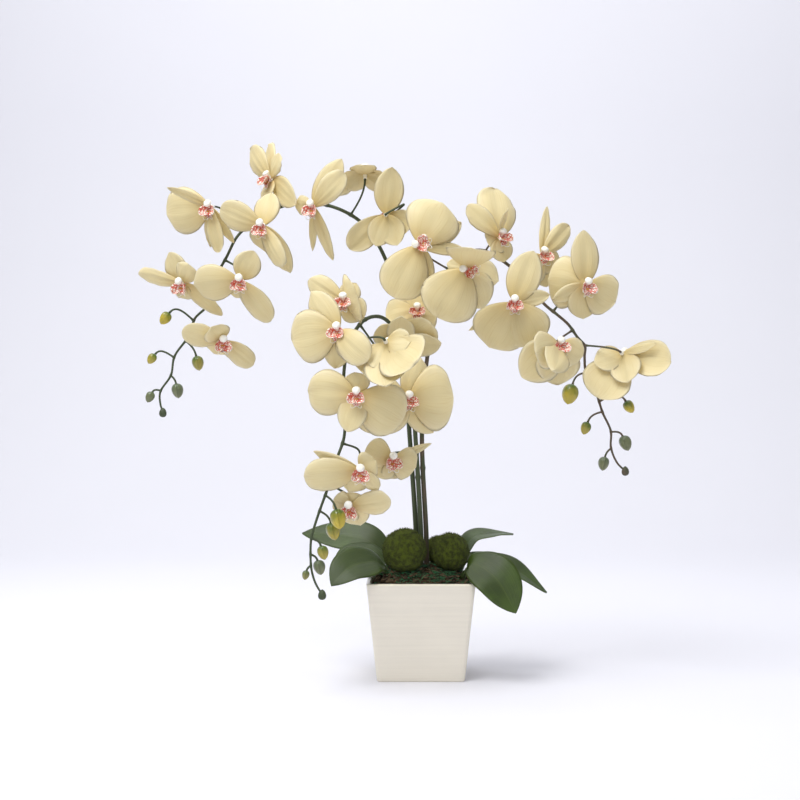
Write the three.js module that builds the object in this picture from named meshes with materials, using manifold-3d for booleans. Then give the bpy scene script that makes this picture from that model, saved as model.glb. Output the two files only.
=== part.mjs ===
// A potted moth orchid: a square ceramic pot with its fill and bark dressing, three moss balls,
// six strap leaves and three arching flower spikes that carry flowers and buds.
// Millimetres, +Z up, -Y the front. The origin is the middle of the pot's underside.
import * as THREE from "three";
import { mergeVertices } from "three/addons/utils/BufferGeometryUtils.js";
import Module from "manifold-3d";

const wasm = await Module();
wasm.setup();

// ---------- driving dimensions ----------

const GAP = 0.3; // between pieces that touch

const POT_HEIGHT = 109;
const POT_TOP = 120; // outer width at the rim
const POT_FOOT = 97; // outer width at the bottom
const POT_CORNER = 5;
const POT_WALL = 5;
const POT_FLOOR = 8;
const INNER_CORNER = Math.max(POT_CORNER - POT_WALL, 1);

const DRESSING_DEPTH = 14; // from the rim down to the fill
const DRESSING_BELOW_RIM = 3; // where it meets the pot's wall
const MOUND = 15; // its middle above its edge
const CHIP_RELIEF = 1.6;

const STEM_DIAMETER = 6.2; // at the foot of a spike
const STEM_TIP_DIAMETER = 2.2;
const PEDICEL_DIAMETER = 2.6;
const STEM_DEPTH = 50; // from the rim down to a stem's foot
const STEM_RISE = 171; // from the rim up to where the spikes part
const STEM_PITCH = 7.6; // between neighbouring stems

const FLOWER_ACROSS = 104; // from petal tip to petal tip
const PETAL_WIDTH = 57;
const SEPAL_LENGTH = 47;
const SEPAL_WIDTH = 31;
const TEPAL_THICKNESS = 1.4;
const LIP_LENGTH = 21;
const LIP_WIDTH = 18;
const COLUMN_LENGTH = 11;
const COLUMN_DIAMETER = 6.4;
const NECK_LENGTH = 8; // behind the flower's middle, where its pedicel meets it

const BUD_SLENDER = 0.38; // a bud's radius over its length
const TIP_BUD_LENGTH = 11;

const LEAF_THICKNESS = 2.2;
const PETIOLE_DIAMETER = 7;
const PETIOLE_DEPTH = 7; // of a leaf's stub in the dressing

// The places of the spikes below are given for flowers of this size, and spread with larger ones.
const PLACES_FOR = { across: 104, petalWidth: 57 };
const SPACING = Math.max(FLOWER_ACROSS / PLACES_FOR.across, PETAL_WIDTH / PLACES_FOR.petalWidth);
const SPRAY = new THREE.Vector3(0, 0, POT_HEIGHT + STEM_RISE);

// Where flowers, buds and spikes are: points from SPRAY, in millimetres at SPACING 1.
// A flower faces [azimuth, elevation]: azimuth 0 is the front and grows to the right. Its tepals
// may differ from TEPALS: turn, lift, curl and twist are degrees, long and wide are factors.

const SPIKES = [
  {
    name: "left",
    foot: [-0.6, 0.6],
    path: [
      [-12.5, 8, -4], [-22, 17, 126], [-38, 24, 188], [-62, 24, 229], [-88, 20, 247],
      [-120, 20, 256], [-152, 20, 254], [-184, 12, 238], [-207, 4, 217], [-220, 2, 192],
      [-233, 4, 168], [-241, 2, 138], [-255, -4, 122], [-260, -8, 104], [-277, -10, 79],
      [-281, -10, 58], [-293, -10, 39], [-293, -10, 26], [-290, -10, 16],
    ],
    flowers: [
      {
        at: [-39, -6, 239], face: [176, 4], via: [-18, -8, 251],
        dorsal: { turn: 98, long: 1.15, wide: 1.1 }, left: { turn: 213, long: 0.6, wide: 0.6 },
        right: { turn: -41, long: 1.1, wide: 0.55 }, leftSepal: { turn: 250, long: 0.8 },
        rightSepal: { turn: 288, long: 0.8 },
      },
      {
        at: [-62, 12, 289], face: [180, 64],
        dorsal: { turn: 84, long: 0.75, curl: -30 },
        left: { turn: 184, lift: -5, curl: -60, long: 0.85, wide: 0.7 },
        right: { turn: -4, lift: -5, curl: -60, long: 0.85, wide: 0.7 },
        leftSepal: { turn: 215, lift: -5, curl: -40, long: 0.6 },
        rightSepal: { turn: 325, lift: -5, curl: -40, long: 0.6 }, lip: { long: 0.6 },
      },
      {
        at: [-119, -34, 244], face: [-25, -12],
        dorsal: { turn: 58, lift: -10, long: 1.3, wide: 0.95 },
        right: { turn: 40, wide: 0.5, long: 1.05 }, left: { turn: 170, long: 0.45, wide: 0.4 },
        leftSepal: { turn: 256, wide: 0.35, long: 1.1 },
        rightSepal: { turn: 281, wide: 0.5, long: 1.35 },
      },
      {
        at: [-169, 2, 281], face: [-58, 5],
        dorsal: { turn: 130, long: 1.35, wide: 1.2 },
        left: { turn: 134, lift: 24, long: 1.05, wide: 0.55 },
        right: { turn: 62, long: 0.6, wide: 0.5 }, leftSepal: { turn: 262, lift: 20, long: 0.6 },
        rightSepal: { turn: 324, long: 1.2 },
      },
      {
        at: [-174, -52, 221], face: [-20, -18],
        dorsal: { turn: 84, lift: -30, long: 0.85 }, left: { turn: 158, wide: 0.6, long: 1.05 },
        right: { turn: 300, wide: 0.4, lift: 28 },
        leftSepal: { turn: 252, long: 0.9, wide: 1.2, lift: -25 },
        rightSepal: { turn: 290, wide: 0.9, lift: -4, long: 1.3 },
      },
      {
        at: [-236, -14, 247], face: [-20, -12],
        dorsal: { turn: 146, wide: 0.35, lift: 20, curl: 20, long: 1.15 },
        left: { turn: 184, lift: 6, curl: -15, wide: 0.95, long: 1.1 },
        right: { turn: 280, wide: 0.35, lift: 20 },
        leftSepal: { turn: 258, wide: 0.5 }, rightSepal: { turn: 296, wide: 0.4 },
      },
      {
        at: [-198, -58, 160], face: [-5, -22],
        dorsal: { turn: 62, long: 0.75 }, left: { turn: 188, lift: 5, wide: 0.75, long: 1.05 },
        right: { turn: 302, wide: 0.5, long: 1.1 }, leftSepal: { turn: 250, long: 0.5 },
        rightSepal: { turn: 284, wide: 0.5, long: 0.9 },
      },
      {
        at: [-266, -24, 160], face: [-26, -24],
        dorsal: { turn: 112, long: 0.8 }, left: { turn: 166, wide: 0.35, long: 1.15 },
        right: { turn: 58, wide: 0.5, long: 0.5 }, leftSepal: { turn: 235, long: 0.5 },
        rightSepal: { turn: 308, wide: 0.7, long: 1.2 },
      },
      {
        at: [-219, -37, 96], face: [10, -26],
        dorsal: { turn: 124, long: 0.6, lift: 35 }, left: { turn: 168, wide: 0.5, long: 0.9 },
        right: { turn: 318, wide: 0.45, long: 0.9 }, leftSepal: { turn: 245, long: 0.45 },
        rightSepal: { turn: 300, wide: 0.5, long: 0.7 },
      },
    ],
    buds: [
      { at: [-286, -20, 121], long: 16 },
      { at: [-302, -14, 76], long: 13 },
      { at: [-250, -14, 71], long: 17 },
      { at: [-273, -14, 40], long: 17 },
      { at: [-304, -14, 33], long: 13 },
    ],
  },
  {
    name: "right",
    foot: [0.9, 0.3],
    path: [
      [2, 6, -4], [9, 14, 85], [23, 16, 155], [45, 14, 192], [68, 10, 201],
      [106, 6, 179], [141, -2, 138], [155, -6, 126], [167, -8, 115], [177, -8, 101],
      [186, -4, 91], [187, 6, 79], [189, 8, 60], [200, 0, 36], [206, -4, 16],
      [215, -6, -5], [215, -8, -24], [222, -8, -41], [231, -8, -50],
    ],
    flowers: [
      {
        at: [-4, 3, 131], face: [0, 15],
        dorsal: { turn: 100, long: 0.8 }, left: { turn: 196, long: 0.7, wide: 0.8 },
        right: { turn: 0, long: 0.45, wide: 0.7 }, leftSepal: { long: 0.7 },
        rightSepal: { long: 0.6 },
      },
      {
        at: [-2, -50, 199], face: [4, 4],
        dorsal: { turn: 355, long: 1.2, wide: 0.5 }, left: { turn: 244, long: 1.25, wide: 0.95 },
        right: { turn: 62, wide: 1.1, long: 1.05 }, leftSepal: { turn: 274, long: 1.2 },
        rightSepal: { turn: 30, wide: 0.9, long: 1.2 }, lip: { turn: 2 },
      },
      {
        at: [50, -68, 173], face: [0, -4],
        dorsal: { turn: 165, long: 0.5, wide: 0.6 }, left: { turn: 238, long: 1.2, wide: 1.15 },
        right: { turn: 84, lift: 64, curl: 10, long: 1.1, wide: 0.95 },
        leftSepal: { turn: 292, wide: 1.35 }, rightSepal: { turn: 340, wide: 1.1, long: 0.8 },
        lip: { turn: -6 },
      },
      {
        at: [88, -22, 213], face: [28, 10],
        dorsal: { turn: 108, wide: 0.3, lift: 45, curl: 20, long: 0.9 },
        right: { turn: 80, wide: 0.9, lift: -4, long: 1.3 },
        left: { turn: 138, wide: 0.5 }, leftSepal: { turn: 225, long: 0.35 },
        rightSepal: { turn: 282, long: 0.6 },
      },
      {
        at: [104, -44, 138], face: [-4, -6],
        dorsal: { turn: 70, wide: 1.25, long: 1.3 },
        left: { turn: 240, lift: 6, wide: 1.1, long: 1.12 },
        right: { turn: 290, lift: 6, wide: 1.05 },
        leftSepal: { turn: 212, wide: 0.35, long: 1.3 },
        rightSepal: { turn: 12, long: 0.85, wide: 0.6 },
      },
      {
        at: [139, 12, 196], face: [24, 2],
        dorsal: { turn: 76, wide: 0.45, long: 1.3 }, right: { turn: 44, wide: 0.42 },
        left: { turn: 232, long: 0.6, wide: 0.7 }, leftSepal: { turn: 285, long: 0.8 },
        rightSepal: { turn: 330, long: 0.65 },
      },
      {
        at: [184, -28, 158], face: [16, -10],
        dorsal: { turn: 92, wide: 1.1, long: 1.3 },
        left: { turn: 178, lift: -24, wide: 1.05, long: 0.85 },
        right: { turn: -26, long: 0.8, wide: 0.85 },
        leftSepal: { turn: 208, wide: 0.6, long: 0.85 },
        rightSepal: { turn: 274, wide: 1.3, long: 0.85 },
      },
      {
        at: [151, -60, 90], face: [16, 0],
        dorsal: { turn: 232, lift: 62, curl: -30, long: 1.2, wide: 1.15 },
        left: { turn: 196, lift: 48, curl: -30, wide: 0.75, long: 0.9 },
        right: { turn: 334, lift: 8, wide: 0.6, long: 0.6 },
        leftSepal: { turn: 222, wide: 1.6, long: 1.15 },
        rightSepal: { turn: 272, wide: 1.7, long: 0.95 },
      },
      {
        at: [226, -21, 82], face: [152, -14],
        dorsal: { turn: 168, wide: 0.35, long: 0.9 }, left: { turn: 190, wide: 0.75, long: 1.12 },
        right: { turn: 296, wide: 1.05, long: 1.1 }, leftSepal: { turn: -22, long: 0.7 },
        rightSepal: { turn: 250, long: 0.8, wide: 1.2 },
      },
    ],
    buds: [
      { at: [168, -14, 36], long: 24 },
      { at: [238, 6, 22], long: 16 },
      { at: [186, -10, -2], long: 15 },
      { at: [231, -12, -19], long: 18 },
      { at: [206, -12, -42], long: 16 },
    ],
  },
  {
    name: "front",
    foot: [0.1, -0.5],
    path: [
      [-6, -1, -4], [-10, -4, 50], [-22, -14, 96], [-40, -34, 120], [-60, -64, 118],
      [-76, -92, 94], [-82, -112, 60], [-81, -125, 20], [-81, -133, -8], [-89, -142, -33],
      [-95, -145, -54], [-105, -147, -82], [-110, -148, -97], [-114, -148, -111],
      [-115, -148, -125], [-114, -148, -144], [-110, -148, -158], [-103, -148, -170],
    ],
    flowers: [
      {
        at: [-22, -52, 88], face: [178, 35], via: [-40, -66, 80],
        dorsal: { turn: 92 }, left: { turn: 50, long: 0.7, wide: 0.6 },
        right: { turn: 137, long: 0.9, wide: 0.8 },
        leftSepal: { turn: 30, long: 0.5 }, rightSepal: { turn: 165 },
      },
      {
        at: [-38, -152, 88], face: [166, -22], via: [-56, -136, 94],
        dorsal: { turn: 262, wide: 1.5, long: 1.25, curl: -25 },
        left: { turn: 222, long: 1.05, lift: -6, curl: -35 },
        right: { turn: 294, wide: 0.8, long: 0.8, lift: 8 },
        leftSepal: { turn: 184, long: 0.6 }, rightSepal: { turn: 286, long: 0.7 },
      },
      {
        at: [-14, -112, 31], face: [10, 0],
        dorsal: { turn: 70 }, left: { turn: 190, long: 0.6 },
        right: { turn: 2, long: 0.95, wide: 1.25 },
      },
      {
        at: [-84, -85, 136], face: [-10, 5],
        dorsal: { turn: 60, long: 0.5, wide: 0.8 }, left: { turn: 148, wide: 0.45, long: 0.9 },
        right: { turn: 20, long: 0.3 }, leftSepal: { turn: 200, long: 0.6 },
        rightSepal: { turn: 318, long: 0.6 },
      },
      {
        at: [-87, -141, 102], face: [-14, 0],
        dorsal: { turn: 128, long: 1.15 }, left: { turn: 190 },
        right: { turn: 320, lift: 50, curl: -60, wide: 0.6, long: 1.05 },
        leftSepal: { turn: 262, long: 0.85 }, rightSepal: { turn: 306, long: 0.9 },
      },
      {
        at: [-67, -150, 36], face: [-6, -4],
        dorsal: { turn: 100, long: 0.5 }, left: { turn: 176, wide: 0.85 },
        right: { turn: 330, long: 1.05 }, leftSepal: { turn: 256, long: 0.85, lift: 18 },
        rightSepal: { turn: 295 },
      },
      {
        at: [-32, -96, -33], face: [14, -8],
        dorsal: { turn: 18, wide: 0.3, long: 1.05 }, left: { turn: 160, long: 0.6, wide: 0.6 },
        right: { turn: -18, long: 0.55, wide: 0.65 }, leftSepal: { turn: 230, long: 0.55 },
        rightSepal: { turn: 290, long: 0.5 },
      },
      {
        at: [-64, -154, -42], face: [4, -16], via: [-66, -132, -22],
        dorsal: { turn: 160, wide: 0.4, long: 1.1 }, left: { turn: 188, wide: 0.65, long: 1.12 },
        right: { turn: 312, wide: 0.3, long: 0.55 }, leftSepal: { turn: 245, long: 0.6 },
        rightSepal: { turn: 30, long: 0.4 },
      },
      {
        at: [-75, -138, -79], face: [-10, -25],
        dorsal: { turn: 95, long: 0.3 }, left: { turn: 155, long: 0.35, wide: 0.45 },
        right: { turn: 8, wide: 0.5, long: 0.85 }, leftSepal: { turn: 235, long: 0.45 },
        rightSepal: { turn: 285, long: 0.6 },
      },
    ],
    buds: [
      { at: [-86, -158, -92], long: 21 },
      { at: [-92, -140, -106], long: 19 },
      { at: [-102, -150, -127], long: 15 },
      { at: [-106, -144, -143], long: 16 },
      { at: [-120, -150, -150], long: 10 },
    ],
  },
];

// Moss balls: [name, diameter, x, y, how far the ball sinks into the dressing].
const MOSS_BALLS = [
  ["moss_ball_left", 53, -18, -29, 2],
  ["moss_ball_right", 47, 33, -18, 2],
  ["moss_ball_back", 38, 22, 31, 2],
];

// Leaves: heading from the middle (0 is +X, 90 the back), how far inside the rim the blade starts,
// its height above the rim where it crosses it, its tip as [past the rim, above the rim], its width,
// and how far it tilts to the front.
const LEAVES = [
  { name: "leaf_left_back", heading: 164, inset: 24, over: 40, tip: [80, 46], width: 44, tilt: 42 },
  { name: "leaf_left", heading: 186, inset: 20, over: 26, tip: [38, 20], width: 40, tilt: 30 },
  { name: "leaf_left_front", heading: 217, inset: 25, over: 22, tip: [47, 0], width: 46, tilt: 38 },
  { name: "leaf_right_back", heading: 20, inset: 14, over: 42, tip: [52, 45], width: 40, tilt: 8 },
  { name: "leaf_right", heading: -2, inset: 12, over: 22, tip: [83, -17], width: 36, tilt: 25 },
  { name: "leaf_right_front", heading: -35, inset: 10, over: 20, tip: [52, -30], width: 52, tilt: 40 },
];
const LEAF_ROOT_ABOVE_RIM = 15;
const LEAF_ARCH = 3; // how far a midrib bows up between those places
const LEAF_CUP = 0.14; // how far a blade's sides rise, as a share of their width
const LEAF_LEAN = 0.12; // how far a stub leans to the pot's middle, as a share of its distance

// ---------- materials ----------

const finish = (color, roughness, metalness = 0) =>
  new THREE.MeshStandardMaterial({ color, roughness, metalness });
const POT_GLAZE = finish(0xe6dccb, 0.35);
const FILL = finish(0x4a3a2c, 0.95);
const DRESSING = finish(0x46372a, 0.95);
const MOSS = finish(0x54621e, 1);
const LEAF = finish(0x425c32, 0.45);
const STEM = finish(0x3c4b3a, 0.6);
const TEPAL = finish(0xebe3c3, 0.7);
const BUD = finish(0x93a048, 0.5);

// ---------- solids ----------

const radians = THREE.MathUtils.degToRad;
const point = (x, y, z) => new THREE.Vector3(x, y, z);

/** A closed geometry as a solid that can be joined and cut. */
function solid(geometry) {
  const bare = new THREE.BufferGeometry();
  bare.setAttribute("position", geometry.getAttribute("position"));
  bare.setIndex(geometry.index);
  const merged = mergeVertices(bare, 1e-4);
  const mesh = new wasm.Mesh({
    numProp: 3,
    vertProperties: merged.attributes.position.array,
    triVerts: new Uint32Array(merged.index.array),
  });
  return new wasm.Manifold(mesh);
}

/** Such a solid as a geometry. */
function geometryOf(made) {
  const mesh = made.getMesh();
  const geometry = new THREE.BufferGeometry();
  geometry.setAttribute("position", new THREE.BufferAttribute(mesh.vertProperties, 3));
  geometry.setIndex(new THREE.BufferAttribute(mesh.triVerts, 1));
  return geometry;
}

/** All the solids as one. */
const joined = (solids) => solids.reduce((all, next) => all.add(next));

/** A square block with round corners that widens from `low` at `z0` to `high` at `z1`. */
function taperedSquare(low, high, z0, z1, corner) {
  const half = high / 2;
  const outline = new THREE.Shape();
  for (let k = 0; k < 4; k++) {
    const middle = radians(45 + 90 * k);
    const reach = (half - corner) * Math.SQRT2;
    const x = reach * Math.cos(middle);
    const y = reach * Math.sin(middle);
    outline.absarc(x, y, corner, middle - Math.PI / 4, middle + Math.PI / 4, false);
  }
  const options = { depth: z1 - z0, bevelEnabled: false, curveSegments: 3 };
  const block = new THREE.ExtrudeGeometry(outline, options);
  const place = block.attributes.position;
  for (let i = 0; i < place.count; i++) {
    const share = place.getZ(i) / (z1 - z0);
    const scale = (low + (high - low) * share) / high;
    place.setXYZ(i, place.getX(i) * scale, place.getY(i) * scale, place.getZ(i) + z0);
  }
  return block;
}

/** A closed tube along a curve, whose radius is a function of the share of its length. */
function tube(curve, steps, sides, radiusAt) {
  const section = new THREE.Shape();
  for (let k = 0; k < sides; k++) {
    const angle = (2 * Math.PI * k) / sides;
    section[k ? "lineTo" : "moveTo"](Math.cos(angle), Math.sin(angle));
  }
  const made = new THREE.ExtrudeGeometry(section, { steps, extrudePath: curve });
  const middles = curve.getSpacedPoints(steps);
  const place = made.attributes.position;
  const vertex = new THREE.Vector3();
  for (let i = 0; i < place.count; i++) {
    vertex.fromBufferAttribute(place, i);
    const off = middles.map((middle) => Math.abs(middle.distanceTo(vertex) - 1));
    const ring = off.indexOf(Math.min(...off));
    vertex.sub(middles[ring]).multiplyScalar(radiusAt(ring / steps)).add(middles[ring]);
    place.setXYZ(i, vertex.x, vertex.y, vertex.z);
  }
  return made;
}

/**
 * A closed pillow: a front and a back skin that share their rim. `at(t, x)` gives the middle
 * surface's point and its normal, with t from 0 at the base to 1 at the tip and x from -1 to 1
 * across it, and `thickness` its greatest thickness.
 */
function pillow(rows, columns, thickness, at) {
  const places = [];
  const triangles = [];
  const add = (p) => places.push(p.x, p.y, p.z) / 3 - 1;
  const share = (i) => (1 - Math.cos((Math.PI * i) / rows)) / 2;
  const base = add(at(0, 0).place);
  const tip = add(at(1, 0).place);
  const skins = [[], []];
  for (let i = 1; i < rows; i++) {
    const lines = [[], []];
    for (let j = 0; j <= columns; j++) {
      const x = (2 * j) / columns - 1;
      const { place, normal } = at(share(i), x);
      const lift = normal.clone().multiplyScalar((thickness / 2) * (1 - x * x));
      const rim = j === 0 || j === columns;
      const front = add(place.clone().add(lift));
      lines[0].push(front);
      lines[1].push(rim ? front : add(place.clone().sub(lift)));
    }
    skins[0].push(lines[0]);
    skins[1].push(lines[1]);
  }
  skins.forEach((lines, back) => {
    const face = (a, b, c) => triangles.push(...(back ? [a, c, b] : [a, b, c]));
    const last = lines[lines.length - 1];
    for (let j = 0; j < columns; j++) {
      face(base, lines[0][j], lines[0][j + 1]);
      face(last[j], tip, last[j + 1]);
      for (let i = 0; i + 1 < lines.length; i++) {
        face(lines[i][j], lines[i + 1][j], lines[i + 1][j + 1]);
        face(lines[i][j], lines[i + 1][j + 1], lines[i][j + 1]);
      }
    }
  });
  const made = new THREE.BufferGeometry();
  made.setAttribute("position", new THREE.Float32BufferAttribute(places, 3));
  made.setIndex(triangles);
  return made;
}

/** A solid of revolution about +Z from its profile of [radius, height]. */
function turned(profile, segments) {
  const points = profile.map(([radius, height]) => new THREE.Vector2(radius, height));
  return new THREE.LatheGeometry(points, segments).rotateX(Math.PI / 2);
}

/** The turn that makes +Z face `azimuth`, `elevation`, with +Y up and then rolled. */
function turnTo(azimuth, elevation, roll = 0) {
  const about = (axis, angle) => new THREE.Quaternion().setFromAxisAngle(axis, radians(angle));
  const up = point(0, 0, 1);
  return about(up, azimuth)
    .multiply(about(point(1, 0, 0), 90 - elevation))
    .multiply(about(up, roll));
}

// ---------- the scene ----------

const orchid = new THREE.Group();

function addMesh(parent, name, geometry, material) {
  const mesh = new THREE.Mesh(geometry, material);
  mesh.name = name;
  parent.add(mesh);
  return mesh;
}

// ---------- pot and fill ----------

const inner = (z) => POT_FOOT + ((POT_TOP - POT_FOOT) * z) / POT_HEIGHT - 2 * POT_WALL;

function potSolid() {
  const top = POT_HEIGHT + POT_WALL; // past the rim, so that the pot is cut open
  const outside = solid(taperedSquare(POT_FOOT, POT_TOP, 0, POT_HEIGHT, POT_CORNER));
  const inside = solid(taperedSquare(inner(POT_FLOOR), inner(top), POT_FLOOR, top, INNER_CORNER));
  return outside.subtract(inside);
}

function fillSolid() {
  const low = POT_FLOOR + GAP;
  const high = POT_HEIGHT - DRESSING_DEPTH;
  const fit = (z) => inner(z) - 2 * GAP;
  return solid(taperedSquare(fit(low), fit(high), low, high, INNER_CORNER));
}

/** Height of the dressing above its edge, at shares of its half width from -1 to 1. */
function dressingRise(x, y) {
  const chips = Math.sin(11 * x + 3 * y) * Math.cos(9 * y - 4 * x);
  const inside = (1 - x ** 4) * (1 - y ** 4);
  return inside * (MOUND + CHIP_RELIEF * chips);
}

/** Height of the dressing's surface at a place. */
function dressingTop(x, y) {
  const half = inner(POT_HEIGHT) / 2;
  return POT_HEIGHT - DRESSING_BELOW_RIM + dressingRise(x / half, y / half);
}

function dressingSolid() {
  const low = POT_HEIGHT - DRESSING_DEPTH + GAP;
  const edge = POT_HEIGHT - DRESSING_BELOW_RIM;
  const cells = 6;
  const block = new THREE.BoxGeometry(2, 2, 1, cells, cells, 1);
  const place = block.attributes.position;
  for (let i = 0; i < place.count; i++) {
    const x = place.getX(i);
    const y = place.getY(i);
    const z = place.getZ(i) > 0 ? edge : low;
    const half = inner(z) / 2 - 2 * GAP;
    place.setXYZ(i, x * half, y * half, z > low ? z + dressingRise(x, y) : z);
  }
  return solid(block);
}

// ---------- moss balls ----------

function mossBalls() {
  return MOSS_BALLS.map(([name, diameter, x, y, sink]) => {
    const place = point(x, y, dressingTop(x, y) + diameter / 2 - sink);
    return { name, diameter, place };
  });
}

/** The hollow that a moss ball leaves in what it lies on. */
function mossSeat(ball) {
  const seat = new THREE.IcosahedronGeometry(ball.diameter / 2 + 2 * GAP, 2);
  return solid(seat).translate(...ball.place.toArray());
}

// ---------- leaves ----------

function leafMidrib(leaf) {
  const heading = radians(leaf.heading);
  const away = point(Math.cos(heading), Math.sin(heading), 0);
  const rim = POT_TOP / 2 / Math.max(Math.abs(away.x), Math.abs(away.y));
  const along = (past, above) => point(away.x, away.y, 0).multiplyScalar(rim + past).setZ(POT_HEIGHT + above);
  const [reach, tip] = leaf.tip;
  return new THREE.CatmullRomCurve3([
    along(-leaf.inset, LEAF_ROOT_ABOVE_RIM),
    along(-leaf.inset / 2, (LEAF_ROOT_ABOVE_RIM + leaf.over) / 2 + LEAF_ARCH),
    along(0, leaf.over),
    along(reach / 2, (leaf.over * 2 + tip) / 3 + LEAF_ARCH),
    along(reach, tip),
  ]);
}

/** The stub that holds a leaf in the dressing, or the hollow it needs. */
function petiole(leaf, clearance) {
  const midrib = leafMidrib(leaf);
  const foot = midrib.getPoint(0).multiplyScalar(1 - LEAF_LEAN);
  foot.setZ(dressingTop(foot.x, foot.y) - PETIOLE_DEPTH - clearance);
  const line = new THREE.LineCurve3(foot, midrib.getPoint(LEAF_LEAN / 2));
  return solid(tube(line, 1, 5, () => PETIOLE_DIAMETER / 2 + clearance));
}

function leafSolid(leaf) {
  const midrib = leafMidrib(leaf);
  const up = point(0, 0, 1);
  const blade = pillow(7, 2, LEAF_THICKNESS, (t, x) => {
    const along = midrib.getTangentAt(t);
    const side = new THREE.Vector3().crossVectors(up, along).normalize();
    side.applyAxisAngle(along, radians(leaf.tilt) * Math.sign(side.y));
    const normal = new THREE.Vector3().crossVectors(along, side).normalize();
    const across = (leaf.width / 2) * Math.sin(Math.PI * t ** 0.9) ** 0.55;
    const place = midrib.getPointAt(t).addScaledVector(side, x * across);
    place.addScaledVector(normal, LEAF_CUP * across * Math.abs(x));
    return { place, normal };
  });
  return joined([petiole(leaf, 0), solid(blade)]);
}

// ---------- flowers ----------

const SEPAL = { length: SEPAL_LENGTH, width: SEPAL_WIDTH, root: 0.7, end: 0.7, back: 2.2 };
const PETAL = { length: FLOWER_ACROSS / 2, width: PETAL_WIDTH, root: 0.8, end: 0.5, back: 0 };
const LIP = { length: LIP_LENGTH, width: LIP_WIDTH, root: 0.6, end: 0.6, back: 0 };

// The flower's own frame: +X its right, +Y its dorsal sepal, +Z the way it faces.
const TEPALS = {
  dorsal: { ...SEPAL, turn: 90, lift: -3, curl: -14, cup: 0.1 },
  leftSepal: { ...SEPAL, turn: 232, lift: -4, curl: -12, cup: 0.1 },
  rightSepal: { ...SEPAL, turn: 308, lift: -4, curl: -12, cup: 0.1 },
  left: { ...PETAL, turn: 168, lift: 10, curl: -26, cup: -0.12 },
  right: { ...PETAL, turn: 12, lift: 10, curl: -26, cup: -0.12 },
  lip: { ...LIP, turn: 270, lift: 60, curl: -50, cup: 0.6 },
};

function tepalSolid(shape) {
  const { root, end, long = 1, wide = 1, twist = 0 } = shape;
  const length = shape.length * long;
  const width = shape.width * wide;
  const turn = radians(shape.turn);
  const lift = radians(shape.lift);
  const curl = radians(shape.curl) || 1e-6;
  const peak = (root / (root + end)) ** root * (end / (root + end)) ** end;
  const away = point(Math.cos(turn), Math.sin(turn), 0);
  const side = point(-Math.sin(turn), Math.cos(turn), 0);
  const out = point(0, 0, 1);
  const rows = shape.length > LIP_LENGTH ? 4 : 3;
  return solid(
    pillow(rows, 2, TEPAL_THICKNESS, (t, x) => {
      const angle = lift + curl * t;
      const reach = (length * (Math.sin(angle) - Math.sin(lift))) / curl;
      const rise = (length * (Math.cos(lift) - Math.cos(angle))) / curl - shape.back;
      const normal = out.clone().multiplyScalar(Math.cos(angle));
      normal.addScaledVector(away, -Math.sin(angle));
      const across = ((width / 2) * t ** root * (1 - t) ** end) / peak;
      const along = new THREE.Vector3().crossVectors(side, normal);
      const edge = side.clone().applyAxisAngle(along, radians(twist) * t);
      normal.applyAxisAngle(along, radians(twist) * t);
      const place = away.clone().multiplyScalar(reach).addScaledVector(out, rise);
      place.addScaledVector(edge, x * across);
      place.addScaledVector(normal, (shape.cup * (x * across) ** 2) / width);
      return { place, normal };
    }),
  );
}

// The neck behind the flower and its column in front, as one profile of [radius, height].
const SPINDLE = [
  [0, -NECK_LENGTH],
  [PEDICEL_DIAMETER / 2 + 0.3, -NECK_LENGTH],
  [COLUMN_DIAMETER / 2, 0],
  [COLUMN_DIAMETER / 2, COLUMN_LENGTH * 0.7],
  [0, COLUMN_LENGTH],
];

function flowerSolid(flower) {
  const shapes = Object.entries(TEPALS).map(([name, shape]) => ({ ...shape, ...flower[name] }));
  return joined([solid(turned(SPINDLE, 4)), ...shapes.map(tepalSolid)]);
}

// How a stalk leaves its rachis and arrives.
const PEDICEL_BEND = 0.42; // of its length, straight behind the flower
const PEDICEL_BEHIND = 18; // behind the neck, where it looks for its rachis
const VIA_BEHIND = 4; // straight stretch behind the neck of one that goes round another piece
const BUD_HANG = 1.4; // how much a bud hangs down rather than away from its rachis
const BUD_STALK = 0.9; // how far above a bud its stalk starts, as a share of the bud

const placed = ([x, y, z]) => point(x, y, z).multiplyScalar(SPACING).add(SPRAY);

/** Where each flower of a spike is, how it faces, and the end of its neck. */
function flowersOf(spike) {
  return spike.flowers.map((flower, k) => {
    const turn = turnTo(...flower.face);
    const facing = point(0, 0, 1).applyQuaternion(turn);
    const place = placed(flower.at);
    const joint = place.clone().addScaledVector(facing, -NECK_LENGTH - GAP);
    return { ...flower, name: `${spike.name}_flower_${k + 1}`, place, turn, facing, joint };
  });
}

// ---------- buds ----------

/** Where each bud of a spike is: its base, its long axis and its length. */
function budsOf(spike, rachis) {
  return spike.buds.map(({ at, long: length }, k) => {
    const middle = placed(at);
    const root = nearest(rachis, middle.clone().add(point(0, 0, length * BUD_STALK)));
    const facing = middle.clone().sub(root).normalize();
    facing.add(point(0, 0, -BUD_HANG)).normalize();
    const base = middle.clone().addScaledVector(facing, -length / 2);
    const joint = base.clone().addScaledVector(facing, -GAP);
    return { name: `${spike.name}_bud_${k + 1}`, base, facing, joint, length, root };
  });
}

/** An egg from its base at height 0 to its tip. */
function budProfile(length) {
  const radius = length * BUD_SLENDER;
  return [
    [0, 0],
    [radius * 0.4, 0],
    [radius * 0.95, length * 0.28],
    [radius * 0.9, length * 0.6],
    [0, length],
  ];
}

// ---------- spikes ----------

const RACHIS_STEPS = 40;

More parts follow.
